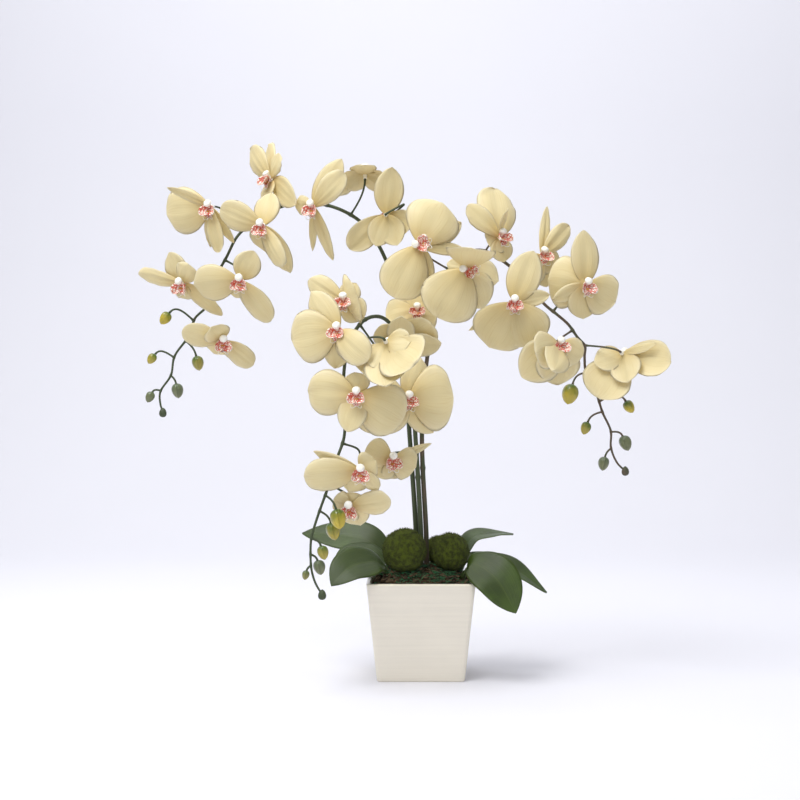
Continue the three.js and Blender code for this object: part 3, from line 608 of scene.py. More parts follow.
def stem_finish(name, settings, woody):
    made = Finish(name, settings.green, 0.55)
    patches = made.cloud(made.place((1, 1, 0.45)), 60, 3)
    fibres = made.cloud(made.place((900, 900, 90)), 1.0, 2, 0.6)
    body = made.mix(patches.band(0.7 - woody * 0.6, 0.9 - woody * 0.6), settings.green, settings.brown)
    made.feed("Base Color", made.mix(fibres.band(0.5, 0.8) * 0.35, body, shade(settings.brown, 1.5)))
    made.feed("Roughness", 0.45 + fibres * 0.25)
    made.bump(fibres + patches, 0.0004, 0.7)
    return made.material


def petal_finish(settings):
    made = Finish("petal", settings.petal, 0.5, Sheen_Weight=0.12)
    along, off, across = made.blade()
    fan = (across - 0.5) * (1.25 - along * 0.55)
    veins = made.cloud(made.vector(along * 1.6, fan * 34, 0.0), 1.0, 3, 0.55)
    patches = made.cloud(made.place(), 30, 2)
    # Painted shade: darker towards each tepal's root.
    root = along.band(0.62, 0.0)
    # Painted highlight: paler towards each tepal's sides and end.
    rim = off.band(0.55, 1.0) * 0.5 + along.band(0.7, 1.0) * 0.5
    body = made.mix(patches.band(0.3, 0.75) * 0.45, settings.petal, shade(settings.petal, 0.86))
    body = made.mix(veins.band(0.5, 0.72) * 0.3, body, settings.vein_and_root_shade)
    body = made.mix(root * 0.85, body, settings.vein_and_root_shade)
    made.feed("Base Color", made.mix(rim * (1 - root) * 0.5, body, settings.rim))
    made.feed("Roughness", 0.42 + veins * 0.2)
    made.bump(veins + patches * 0.6, 0.0006, 0.65)
    made.glow_through(0.22, settings.petal)
    return made.material


def lip_finish(settings):
    made = Finish("lip", settings.petal, 0.4, Coat_Weight=0.15, Coat_Roughness=0.25)
    along, _, across = made.blade()
    wobble = made.cloud(made.place(), 260, 1)
    spread = made.vector(along * 5 + wobble * 1.4, across * 5 + wobble * 1.4, 0.0)
    net = made.cells(spread, 1.1, "DISTANCE_TO_EDGE")
    lines = net.band(0.2, 0.04) * along.band(0.02, 0.12) * along.band(1.0, 0.78)
    flush = along.band(0.75, 0.1) * 0.5
    body = made.mix(flush, shade(settings.rim, 0.96), settings.net)
    made.feed("Base Color", made.mix(lines, body, settings.net))
    made.feed("Roughness", 0.32 + wobble * 0.2)
    made.bump(net, 0.0003, 0.5)
    return made.material


def callus_finish(settings):
    made = Finish("callus", settings.callus, 0.35, Coat_Weight=0.2)
    spots = made.cells(made.place(), 900)
    rust = shade(settings.net, 0.8)
    made.feed("Base Color", made.mix(spots.band(0.45, 0.25) * 0.7, settings.callus, rust))
    made.feed("Roughness", 0.3 + spots * 0.2)
    return made.material


def column_finish(settings):
    pale = tone(252, 250, 242)
    made = Finish("column", pale, 0.28, Coat_Weight=0.3, Coat_Roughness=0.15)
    soft = made.cloud(made.place(), 170, 2)
    made.feed("Base Color", made.mix(soft.band(0.35, 0.75) * 0.35, pale, settings.petal))
    made.feed("Roughness", 0.24 + soft * 0.16)
    return made.material


def bud_finish(name, ripe):
    """Grey-green when young, then green at the stalk and yellow at the tip."""
    young = tone(96, 108, 84)
    green = tone(78, 104, 34)
    yellow = tone(206, 182, 40)
    root = tuple(young[k] + (green[k] - young[k]) * min(1, ripe * 2) for k in range(3))
    tip = tuple(young[k] + (yellow[k] - young[k]) * ripe for k in range(3))
    made = Finish(name, tip, 0.3, Coat_Weight=0.3, Coat_Roughness=0.2)
    along, _, across = made.blade()
    patches = made.cloud(made.place(), 130, 3)
    seams = made.cells(made.vector(across * 3, 0.0, 0.0), 1.0, "DISTANCE_TO_EDGE")
    ripeness = (along + (patches - 0.5) * 0.7).band(0.1, 0.75)
    body = made.mix(ripeness, root, tip)
    made.feed("Base Color", made.mix(patches.band(0.6, 0.75) * 0.25, body, shade(root, 0.6)))
    made.feed("Roughness", 0.26 + patches * 0.16)
    made.bump(seams.band(0.0, 0.12) + patches * 0.4, 0.0004, 0.8)
    return made.material


def stage_finish(settings):
    made = Finish("backdrop", settings.floor, 0.9)
    drift = made.cloud(made.place(), 1.3, 2)
    made.feed("Base Color", made.mix(drift.band(0.3, 0.7), shade(settings.floor, 0.985), settings.floor))
    made.feed("Roughness", 0.85 + drift * 0.1)
    return made.material


# ---------- shapes ----------

class Shape:
    """The points and faces that one piece is made of, each part with its own coat."""

    def __init__(self):
        self.points = []
        self.faces = []
        self.coats = []
        self.marks = []
        self.count = 0

    def add(self, points, faces, coat=0, marks=None):
        self.points.append(np.asarray(points, float))
        start = self.count
        self.faces += [[start + corner for corner in face] for face in faces]
        self.coats += [coat] * len(faces)
        self.marks += marks if marks is not None else [(0.5, 0.5)] * len(points)
        self.count += len(points)

    def places(self):
        return np.concatenate(self.points)

    def turn(self, matrix):
        self.points = [self.places() @ np.asarray(matrix).T]

    def shift(self, move):
        self.points = [self.places() + np.asarray(move)]

    def settle(self, node):
        """Puts the middle of the shape's box where the CAD node's is, and returns the move."""
        low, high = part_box(node)
        places = self.places()
        move = np.array(low + high) / 2 - (places.min(0) + places.max(0)) / 2
        self.shift(move)
        return move

    def piece(self, name, coats, slot, node):
        """The shape as an object that rides on the plant and stands for a CAD node."""
        mesh = bpy.data.meshes.new(name)
        mesh.from_pydata(self.places().tolist(), [], self.faces)
        for coat in coats:
            mesh.materials.append(coat)
        mesh.polygons.foreach_set("material_index", self.coats)
        mesh.polygons.foreach_set("use_smooth", [True] * len(self.faces))
        corners = np.zeros(len(mesh.loops), int)
        mesh.loops.foreach_get("vertex_index", corners)
        layer = mesh.uv_layers.new(name="Blade")
        layer.data.foreach_set("uv", np.array(self.marks)[corners].ravel())
        mesh.update()
        made = bpy.data.objects.new(name, mesh)
        bpy.context.scene.collection.objects.link(made)
        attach(made, "root")
        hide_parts(node)


def unit(vector):
    return vector / np.linalg.norm(vector)


def compass(angle):
    """The level way that a turn from +X faces."""
    return np.array([math.cos(angle), math.sin(angle)])


def blade(shape, places, normals, thickness, coat=0):
    """
    Adds a closed blade from its middle surface, a grid of rows from root to tip and columns across
    it. Its first and last rows are single points, and it is thickest along its middle.
    """
    rows, columns = places.shape[0] - 1, places.shape[1] - 1
    x = np.linspace(-1, 1, columns + 1)
    lift = normals * (thickness / 2 * (1 - x**6))[None, :, None]
    points = [places[0, 0], places[rows, 0]]
    marks = [(0.0, 0.5), (1.0, 0.5)]
    front = np.zeros((rows + 1, columns + 1), int)
    back = np.zeros((rows + 1, columns + 1), int)
    for i in range(1, rows):
        for j in range(columns + 1):
            front[i, j] = back[i, j] = len(points)
            points.append(places[i, j] + lift[i, j])
            marks.append((i / rows, j / columns))
            if 0 < j < columns:
                back[i, j] = len(points)
                points.append(places[i, j] - lift[i, j])
                marks.append((i / rows, j / columns))
    faces = []
    for grid, flip in ((front, False), (back, True)):
        skin = []
        for j in range(columns):
            skin.append([0, grid[1, j], grid[1, j + 1]])
            skin.append([grid[rows - 1, j], 1, grid[rows - 1, j + 1]])
            for i in range(1, rows - 1):
                skin.append([grid[i, j], grid[i + 1, j], grid[i + 1, j + 1], grid[i, j + 1]])
        faces += [face[::-1] if flip else face for face in skin]
    shape.add(points, faces, coat, marks)


def tube(shape, line, radii, sides, coat=0):
    """Adds a closed tube along a line of points, with a radius at each."""
    line = np.asarray(line, float)
    steps = len(line)
    ways = np.gradient(line, axis=0)
    ways /= np.linalg.norm(ways, axis=1)[:, None]
    start = UP if abs(ways[0] @ UP) < 0.9 else np.array([1.0, 0, 0])
    side = unit(np.cross(ways[0], start))
    angles = np.arange(sides) * 2 * math.pi / sides
    points = []
    marks = []
    for k in range(steps):
        side = unit(side - ways[k] * (side @ ways[k]))
        other = np.cross(ways[k], side)
        ring = np.outer(np.cos(angles), side) + np.outer(np.sin(angles), other)
        points += list(line[k] + ring * radii[k])
        marks += [(k / (steps - 1), n / sides) for n in range(sides)]
    faces = []
    for k in range(steps - 1):
        for n in range(sides):
            a, b = k * sides + n, k * sides + (n + 1) % sides
            faces.append([a, b, b + sides, a + sides])
    faces.append(list(range(sides))[::-1])
    faces.append([(steps - 1) * sides + n for n in range(sides)])
    shape.add(points, faces, coat, marks)


def ringed_faces(rings, sides):
    """The faces of a first point, then rings of as many points as there are sides, and a last one."""
    faces = []
    final = 1 + (rings - 1) * sides
    for n in range(sides):
        m = (n + 1) % sides
        faces.append([0, 1 + m, 1 + n])
        for k in range(rings - 1):
            a, b = 1 + k * sides + n, 1 + k * sides + m
            faces.append([a, b, b + sides, a + sides])
        faces.append([final + n, final + m, final + sides])
    return faces


def turned(shape, profile, sides, place, facing, coat=0, lobes=0.0):
    """Adds a solid of revolution about `facing` from its [radius, height], with three soft lobes."""
    facing = unit(np.asarray(facing, float))
    across = unit(np.cross(facing, UP if abs(facing @ UP) < 0.95 else np.array([1.0, 0, 0])))
    other = np.cross(facing, across)
    angles = np.arange(sides) * 2 * math.pi / sides
    last = len(profile) - 1
    points = [place + facing * profile[0][1]]
    marks = [(0.0, 0.5)]
    for k, (radius, height) in enumerate(profile[1:-1], 1):
        bulge = radius * (1 + lobes * math.sin(math.pi * k / last) * np.cos(3 * angles))
        ring = np.outer(np.cos(angles) * bulge, across) + np.outer(np.sin(angles) * bulge, other)
        points += list(place + facing * height + ring)
        marks += [(k / last, n / sides) for n in range(sides)]
    points.append(place + facing * profile[-1][1])
    marks.append((1.0, 0.5))
    shape.add(points, ringed_faces(last - 1, sides), coat, marks)


def catmull(points, per=24):
    """A centripetal Catmull-Rom line through points."""
    points = np.asarray(points, float)
    ends = [2 * points[0] - points[1], *points, 2 * points[-1] - points[-2]]
    line = []
    for a, b, c, d in zip(ends, ends[1:], ends[2:], ends[3:]):
        before, here, after = (np.linalg.norm(q - p) ** 0.5 for p, q in ((a, b), (b, c), (c, d)))
        leave = ((b - a) / before - (c - a) / (before + here) + (c - b) / here) * here
        arrive = ((c - b) / here - (d - b) / (here + after) + (d - c) / after) * here
        for s in np.arange(per) / per:
            cubic = 2 * b - 2 * c + leave + arrive
            square = -3 * b + 3 * c - 2 * leave - arrive
            line.append(cubic * s**3 + square * s**2 + leave * s + b)
    return np.array([*line, points[-1]])


def spaced(line, steps):
    """A line's points spread evenly along it."""
    lengths = np.concatenate([[0], np.cumsum(np.linalg.norm(np.diff(line, axis=0), axis=1))])
    wanted = np.linspace(0, lengths[-1], steps + 1)
    return np.stack([np.interp(wanted, lengths, axis) for axis in line.T], axis=1)


def smooth(ends, steps):
    """A rounded line through the given points, with its own spread evenly along it."""
    return spaced(catmull(ends), steps)


def nearest(line, target):
    """Where along a line the point nearest to a target is, and that point."""
    k = int(np.argmin(np.linalg.norm(line - target, axis=1)))
    return k, line[k]


# ---------- pot, dressing and moss ----------

POT_FLOOR = 8 * MM
FOOT_RECESS = 1.2 * MM
FOOT_RECESS_INSET = 9 * MM
FOOT_RING_INSET = 7 * MM
LEAST_CORNER = 0.2 * MM
BARK_CHIPS = 760
FIBRES = 2400
TUFTS = 5200  # on a moss ball of TUFT_BALL radius
TUFT_BALL = 26 * MM
GOLDEN_TURN = 2.399963  # from each tuft to the next, which spreads them evenly


def pot_widths():
    """The pot's height, and its outer width at the rim and at its foot."""
    low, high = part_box("pot")
    foot = max(vertex.co.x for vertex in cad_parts["pot"].data.vertices if vertex.co.z < MM)
    return high.z, high.x - low.x, 2 * foot


def square_ring(half, corner, height):
    """A ring of points round a square with round corners."""
    steps = 8
    corner = max(corner, LEAST_CORNER)
    reach = (half - corner) * math.sqrt(2)
    arcs = []
    for k in range(4):
        middle = math.radians(45 + 90 * k)
        angles = [middle - math.pi / 4 + math.pi / 2 * n / steps for n in range(steps + 1)]
        arcs.append([reach * compass(middle) + corner * compass(angle) for angle in angles])
    points = []
    for arc, following in zip(arcs, arcs[1:] + arcs[:1]):
        side = following[0] - arc[-1]
        points += arc
        points += [arc[-1] + side * n / steps for n in range(1, steps)]
    return [(x, y, height) for x, y in points]


def pot_profile(settings, half, top):
    """Half the pot's width and the height, from the recess under its foot over the rim to the floor."""
    rounding, lip = settings.rounding, settings.wall / 2
    profile = [(half(0) - FOOT_RECESS_INSET, FOOT_RECESS), (half(0) - FOOT_RING_INSET, 0)]
    for angle in (math.pi / 2 * n / 4 for n in range(5)):
        profile.append((half(0) - rounding * (1 - math.sin(angle)), rounding * (1 - math.cos(angle))))
    profile += [(half(top * n / 12), top * n / 12) for n in range(1, 12)]
    for angle in (math.pi * n / 8 for n in range(9)):
        profile.append((half(top) - lip * (1 - math.cos(angle)), top - rounding * (1 - math.sin(angle))))
    return profile + [(half(z) - settings.wall, z) for z in np.linspace(top * 0.9, POT_FLOOR, 6)]


def build_pot(settings):
    top, rim, foot = pot_widths()

    def half(z):
        return (foot + (rim - foot) * z / top) / 2

    rings = []
    for reach, z in pot_profile(settings, half, top):
        rings.append(square_ring(reach, settings.corner - (half(z) - reach) * 0.8, z))
    points = [(0, 0, FOOT_RECESS), *(point for ring in rings for point in ring), (0, 0, POT_FLOOR)]
    shape = Shape()
    shape.add(points, ringed_faces(len(rings), len(rings[0])))
    shape.piece("pot_shell", [glaze_finish(settings, top)], "pot_glaze", "pot")


def dressing_surface(settings):
    """The dressing's half width at the top, and its height at a place."""
    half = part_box("bark_dressing")[1].x
    edge = pot_widths()[0] - settings.below

    def height(x, y):
        u, v = x / half, y / half
        inside = max(0.0, 1 - u**4) * max(0.0, 1 - v**4)
        chips = math.sin(11 * u + 3 * v) * math.cos(9 * v - 4 * u)
        return edge + inside * (settings.mound + 1.6 * MM * chips)

    return half, height


def balls():
    """The middle and the radius of each moss ball."""
    found = []
    for name in ("moss_ball_left", "moss_ball_right", "moss_ball_back"):
        low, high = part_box(name)
        found.append((name, np.array(low + high) / 2, (high.x - low.x) / 2))
    return found


def dressing_ground(shape, half, height):
    """The rough ground under the chips and fibres, closed below by the fill."""
    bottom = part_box("bark_dressing")[0].z
    cells = 40
    points = []
    for i in range(cells + 1):
        for j in range(cells + 1):
            x, y = half * (2 * i / cells - 1), half * (2 * j / cells - 1)
            rough = noise.noise(Vector((x, y, 0)) * 190) * 1.6 * MM
            points.append((x, y, height(x, y) - 1.5 * MM + rough))
    row = cells + 1
    faces = []
    for i in range(cells):
        for j in range(cells):
            a = i * row + j
            faces.append([a, a + row, a + row + 1, a + 1])
    around = [i * row for i in range(cells)] + [cells * row + j for j in range(cells)]
    around += [i * row + cells for i in range(cells, 0, -1)] + list(range(cells, 0, -1))
    base = len(points)
    points += [(points[k][0] * 0.985, points[k][1] * 0.985, bottom) for k in around]
    for n, k in enumerate(around):
        m = (n + 1) % len(around)
        faces.append([around[m], k, base + n, base + m])
    faces.append([base + n for n in range(len(around))][::-1])
    shape.add(points, faces)


def build_dressing(settings):
    rng = random.Random(4)
    half, height = dressing_surface(settings)
    shape = Shape()
    dressing_ground(shape, half, height)
    for _ in range(BARK_CHIPS):
        x, y = (rng.uniform(-0.96, 0.96) * half for _ in range(2))
        size = settings.chip * rng.uniform(0.3, 1.0)
        chip(shape, rng, np.array([x, y, height(x, y) + rng.uniform(-1.0, 1.6) * MM]), size)
    for _ in range(FIBRES):
        x, y = (rng.uniform(-0.97, 0.97) * half for _ in range(2))
        patch = noise.noise(Vector((x, y, 1)) * 55)
        if patch + rng.uniform(-0.3, 0.3) > -0.02:
            start = np.array([x, y, height(x, y) + rng.uniform(0, 1.5) * MM])
            strand(shape, rng, start, rng.uniform(4, 10) * MM, 1)
    coats = [bark_finish(settings), fibre_finish("green_fibre", settings.green)]
    shape.piece("bark_and_moss", coats, "bark", "bark_dressing")


def chip(shape, rng, place, size):
    """A flat broken chip of bark with uneven corners."""
    turn = rng.uniform(0, math.pi * 2)
    lean = [rng.uniform(-0.45, 0.45) for _ in range(2)]
    long, wide, thick = size, size * rng.uniform(0.35, 0.7), size * rng.uniform(0.12, 0.28)
    along = unit(np.array([math.cos(turn), math.sin(turn), lean[0]]))
    side = unit(np.cross(UP, along) + UP * lean[1])
    up = np.cross(along, side)
    points = []
    for z in (-1, 1):
        for n in range(6):
            angle = math.pi * 2 * n / 6 + 0.3
            reach = rng.uniform(0.75, 1.1)
            flat = along * math.cos(angle) * long / 2 + side * math.sin(angle) * wide / 2
            points.append(place + flat * reach + up * z * thick / 2 * rng.uniform(0.7, 1.1))
    faces = [list(range(6))[::-1], list(range(6, 12))]
    faces += [[n, (n + 1) % 6, (n + 1) % 6 + 6, n + 6] for n in range(6)]
    shape.add(points, faces)


def strand(shape, rng, start, long, coat):
    """A thin curved fibre that lies on the dressing."""
    turn = rng.uniform(0, math.pi * 2)
    bend = rng.uniform(-1.6, 1.6)
    rise = rng.uniform(0.15, 0.7)
    line = []
    for k in range(4):
        s = k / 3
        angle = turn + bend * s
        flat = np.array([math.cos(angle), math.sin(angle), 0]) * long * s
        line.append(start + flat + UP * rise * long * 0.5 * math.sin(math.pi * s * 0.9))
    tube(shape, line, [0.3 * MM, 0.3 * MM, 0.22 * MM, 0.08 * MM], 3, coat)


def lump(away, number):
    """How far a moss ball's core stands out that way."""
    return noise.noise(Vector(away) * 4 + Vector((number * 7, 0, 0))) * 1.1 * MM


def moss_core(shape, number, middle, core):
    rings = 26
    angles = [math.pi * k / rings for k in range(rings + 1)]
    profile = [(core * math.sin(angle), -core * math.cos(angle)) for angle in angles]
    turned(shape, profile, 44, middle, UP)
    ways = [unit(point - middle) for point in shape.places()]
    shape.shift([way * lump(way, number) for way in ways])


def build_moss(settings):
    rng = random.Random(9)
    coat = fibre_finish("moss", settings.moss)
    for number, (name, middle, radius) in enumerate(balls()):
        core = radius - settings.fibre * 0.75
        shape = Shape()
        moss_core(shape, number, middle, core)
        tufts = int(TUFTS * (radius / TUFT_BALL) ** 2)
        for n in range(tufts):
            z = 1 - 2 * (n + 0.5) / tufts
            turn = n * GOLDEN_TURN
            flat = math.sqrt(1 - z * z)
            away = np.array([flat * math.cos(turn), flat * math.sin(turn), z])
            start = middle + away * (core + lump(away, number) - 0.4 * MM)
            lean = np.array([rng.gauss(0, 1) for _ in range(3)])
            way = unit(away + lean * 0.5)
            reach = settings.fibre * rng.uniform(0.55, 1.05)
            tuft(shape, start, way, reach, 0.34 * MM)
        shape.piece(name + "_fuzz", [coat], "moss", name)


def tuft(shape, start, way, reach, width):
    """A three-sided spike."""
    side = unit(np.cross(way, UP if abs(way[2]) < 0.9 else np.array([1.0, 0, 0])))
    other = np.cross(way, side)
    corners = [side, side * -0.5 + other * 0.87, side * -0.5 - other * 0.87]
    points = [start + corner * width for corner in corners] + [start + way * reach]
    shape.add(points, [[0, 2, 1], [0, 1, 3], [1, 2, 3], [2, 0, 3]])


# ---------- leaves ----------

def leaf_line(data, top, rim):
    """A leaf's midrib, from its root past the pot's rim to its tip."""
    heading, inset, over, (reach, tip), _, _ = data
    away = np.array([*compass(math.radians(heading)), 0])
    edge = rim / 2 / max(abs(away[0]), abs(away[1]))
    ends = [
        (-inset, LEAF_ROOT),
        (-inset / 2, (LEAF_ROOT + over) / 2 + LEAF_ARCH),
        (0, over),
        (reach / 2, (over * 2 + tip) / 3 + LEAF_ARCH),
        (reach, tip),
    ]
    points = [away * (edge + past * MM) + UP * (top + above * MM) for past, above in ends]
    return smooth(points, LEAF_STEPS)


def leaf_surface(midrib, width, tilt, phase):
    """The middle surface of a leaf, and its normals."""
    rows, columns = 44, 16
    t = (1 - np.cos(np.pi * np.arange(rows + 1) / rows)) / 2
    places = np.zeros((rows + 1, columns + 1, 3))
    normals = np.zeros_like(places)
    for i, s in enumerate(t):
        k = min(int(round(s * LEAF_STEPS)), LEAF_STEPS - 1)
        way = unit(midrib[min(k + 2, LEAF_STEPS)] - midrib[max(k - 2, 0)])
        side = unit(np.cross(UP, way))
        lean = math.radians(tilt) * np.sign(side[1])
        side = side * math.cos(lean) + np.cross(way, side) * math.sin(lean)
        normal = np.cross(way, side)
        swell = math.sin(math.pi * s)
        pointed = 0.55 + 0.25 * s**3
        across = width * MM / 2 * max(math.sin(math.pi * s**0.9), 0) ** pointed
        for j, u in enumerate(np.linspace(-1, 1, columns + 1)):
            groove = 0.5 * MM * math.exp(-((u / 0.09) ** 2)) * swell
            wave = 1.3 * MM * u * u * math.sin(9 * s + phase + 1.3 * np.sign(u)) * swell
            rise = 0.147 * across * abs(u) ** 1.6 + wave - groove
            places[i, j] = midrib[int(round(s * LEAF_STEPS))] + side * u * across + normal * rise
            normals[i, j] = normal
    return places, normals


def build_leaves(settings):
    coat = leaf_finish(settings)
    top, rim, _ = pot_widths()
    for number, (name, data) in enumerate(LEAVES.items()):
        width, tilt = data[-2:]
        midrib = leaf_line(data, top, rim)
        phase = random.Random(number).uniform(0, 6)
        shape = Shape()
        blade(shape, *leaf_surface(midrib, width, tilt, phase), settings.thickness)
        foot = midrib[0] * np.array([0.88, 0.88, 1]) - UP * 12 * MM
        stub = np.linspace(foot, midrib[24], 8)
        tube(shape, stub, settings.petiole / 2 * np.linspace(1, 0.35, 8), 12)
        shape.piece(name + "_blade", [coat], "leaf", name)


# ---------- flowers ----------

def facing_matrix(azimuth, elevation):
    """The turn that makes +Z face that way, with +Y as near up as it goes."""
    a, e = math.radians(azimuth), math.radians(90 - elevation)
    about_z = np.array([[math.cos(a), -math.sin(a), 0], [math.sin(a), math.cos(a), 0], [0, 0, 1]])
    about_x = np.array([[1, 0, 0], [0, math.cos(e), -math.sin(e)], [0, math.sin(e), math.cos(e)]])
    return about_z @ about_x


def tepal(form, rows, columns, ruffle, rng):
    """The middle surface of a tepal in the flower's own frame, and its normals."""
    long = form["length"] * form.get("long", 1) * MM
    wide = form["width"] * form.get("wide", 1) * MM
    turn, lift, curl = (math.radians(form[key]) for key in ("turn", "lift", "curl"))
    curl = curl or 1e-6  # a flat tepal bends by next to nothing, because the arc divides by it
    root, end = form["root"], form["end"]
    peak = (root / (root + end)) ** root * (end / (root + end)) ** end
    t = ((1 - np.cos(np.pi * np.arange(rows + 1) / rows)) / 2)[:, None]
    x = np.linspace(-1, 1, columns + 1)[None, :]
    away = np.array([math.cos(turn), math.sin(turn), 0])
    side = np.array([-math.sin(turn), math.cos(turn), 0])
    angle = lift + curl * t
    reach = long * (np.sin(angle) - math.sin(lift)) / curl
    rise = long * (math.cos(lift) - np.cos(angle)) / curl - form["back"] * MM
    normal = UP * np.cos(angle) - away * np.sin(angle)
    off = x * wide / 2 * t**root * (1 - t) ** end / peak
    phase = rng.uniform(0, math.tau)
    waves = rng.uniform(2.2, 3.4)
    swell = form["cup"] * off**2 / wide
    swell = swell - form.get("dome", 0) * wide * np.abs(x) ** 3 * np.sin(math.pi * t) ** 0.7
    swell = swell + ruffle * np.abs(x) ** 2.5 * np.sin(waves * math.pi * t + phase + x) * t
    swell = swell + ruffle * 0.6 * np.abs(x) ** 4 * np.sin(3.1 * waves * math.pi * t - phase) * t
    swell = swell - 0.7 * MM * np.exp(-((x / 0.1) ** 2)) * np.sin(np.pi * t)
    creases = np.sin(rng.uniform(5, 8) * x + phase) + 0.6 * np.sin(rng.uniform(11, 15) * x - phase)
    swell = swell + 0.42 * MM * creases * np.sin(np.pi * np.minimum(t * 1.15, 1)) * (1 - x**4)
    swell = swell + rng.uniform(-1, 1) * 1.3 * MM * np.sin(3 * x + phase) * t
    middle = (away * reach + UP * rise)[:, None, :] + side * off[:, :, None]
    places = middle + normal[:, None, :] * swell[:, :, None]
    return places, np.broadcast_to(normal[:, None, :], places.shape)


def flower_shape(flower, settings, rng):
    """A flower in its own frame: coats 0 petal, 1 lip, 2 column, 3 callus."""
    shape = Shape()
    for name, standard in TEPALS.items():
        form = {**standard, **flower.get(name, {})}
        broad = standard["length"] > 50
        rows, columns = (24, 16) if broad else (22, 12)
        ruffle = settings.ruffle if broad else settings.ruffle * 0.5
        places, normals = tepal(form, rows, columns, ruffle, rng)
        blade(shape, places, normals, settings.thickness)
    lip = {**LIP, **flower.get("lip", {})}
    blade(shape, *tepal(lip, 14, 10, 0.3 * MM, rng), settings.thickness, 1)
    for hand in (-1, 1):
        lobe = {**SIDE_LOBE, "turn": lip["turn"] + LOBE_SPREAD * hand}
        blade(shape, *tepal(lobe, 12, 10, 0.3 * MM, rng), settings.thickness, 1)
        tendril(shape, lip, hand)
    down = np.array([*compass(math.radians(lip["turn"])), 0])
    side = np.cross(UP, down)
    knob = smooth(np.array(KNOB) * MM, 8)
    for hand in (-1, 1):
        turned(shape, knob, 10, (down * 4.4 + side * hand * 1.2 + UP * 4.6) * MM, UP, 3)
    column(shape, settings, down)
    return shape


def tendril(shape, lip, hand):
    """One of the two thin curls at the lip's tip."""
    turn, lift, curl = (math.radians(lip[key]) for key in ("turn", "lift", "curl"))
    away = np.array([math.cos(turn), math.sin(turn), 0])
    side = np.array([-math.sin(turn), math.cos(turn), 0])
    long = lip["length"] * MM
    reach = long * (math.sin(lift + curl) - math.sin(lift)) / curl
    rise = long * (math.cos(lift) - math.cos(lift + curl)) / curl
    start = away * (reach - 1.2 * MM) + UP * rise
    line = []
    for swing in np.linspace(0, 3.6, 9):
        out = side * hand * 5.5 * math.sin(swing * 0.55)
        hook = away * 2.6 * math.sin(swing) + UP * 4.5 * (1 - math.cos(swing)) / 2
        line.append(start + (out + hook) * MM)
    tube(shape, line, np.linspace(0.5, 0.2, 9) * MM, 6, 2)


def column(shape, settings, down):
    """The neck behind a flower, which widens to it, and its column with a rounded cap in front."""
    radius = settings.column / 2
    line = [UP * -settings.neck * share for share, _ in NECK]
    tube(shape, line, [radius * share for _, share in NECK], 12, 2)
    profile = [(share * radius, height * MM) for share, height in CAP]
    turned(shape, smooth(profile, 18), 16, np.zeros(3), UP - down * 0.8, 2)


def build_flowers(settings):
    """Builds each flower and returns, by its name, where its neck ends and which way it faces."""
    coats = [
        petal_finish(settings), lip_finish(settings), column_finish(settings), callus_finish(settings)
    ]
    necks = {}
    for spike, data in SPIKES.items():
        for k, flower in enumerate(data["flowers"], 1):
            name = f"{spike}_flower_{k}"
            rng = random.Random(f"{name} petals")
            shape = flower_shape(flower, settings, rng)
            matrix = facing_matrix(*flower["face"])
            shape.turn(matrix)
            place = shape.settle(name)
            facing = matrix @ UP
            necks[name] = (place - facing * settings.neck, facing)
            shape.piece(f"{name}_bloom", coats, "petal", name)
    return necks


# ---------- spikes and buds ----------

RACHIS_STEPS = 360
BARE_NODES = (70, 120)  # steps up a spike where it thickens without a stalk
TIP_BUD = 11 * MM


def spray_middle():
    return UP * (pot_widths()[0] + SPRAY_RISE)


def rachis_line(data):
    """A spike's line, evenly spaced, from inside the fill to its tip."""
    top = pot_widths()[0]
    x, y = (pitches * STEM_PITCH * MM for pitches in data["foot"])
    bottom = [(x, y, top + above * MM) for above in (-20, 15, 45)]
    path = spray_middle() + np.array(data["path"]) * MM
    return smooth([*bottom, *path], RACHIS_STEPS)


def bud_places(spike, data, rachis):
    """Each bud's name, base, axis, length, ripeness and the root of its stalk."""
    for k, (long, ripe) in enumerate(data["buds"], 1):
        name = f"{spike}_bud_{k}"
        low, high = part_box(name)
        middle = np.array(low + high) / 2
        root = nearest(rachis, middle + UP * long * 0.9 * MM)
        facing = unit(unit(middle - root[1]) - UP * 1.4)
        yield name, middle - facing * long * MM / 2, facing, long * MM, ripe, root


def stalk(shape, settings, root, joint, facing, via=None):
    """A pedicel that leaves its rachis and arrives straight behind a flower or bud."""
    bend = np.linalg.norm(joint - root) * 0.42
    before = joint - facing * bend
    leaving = root + (before - root) * 0.5
    s = np.linspace(0, 1, 25)[:, None]
    bow = 3 * s * (1 - s) * (leaving * (1 - s) + before * s)
    line = root * (1 - s) ** 3 + bow + joint * s**3
    if via is not None:
        line = smooth([root, via, joint - facing * 4 * MM, joint], 24)
    share = np.linspace(0, 1, len(line))
    swell = 0.5 * np.exp(-((share / 0.07) ** 2)) + 0.3 * np.exp(-(((1 - share) / 0.06) ** 2))
    tube(shape, line, settings.pedicel / 2 * (0.86 + swell), 10)


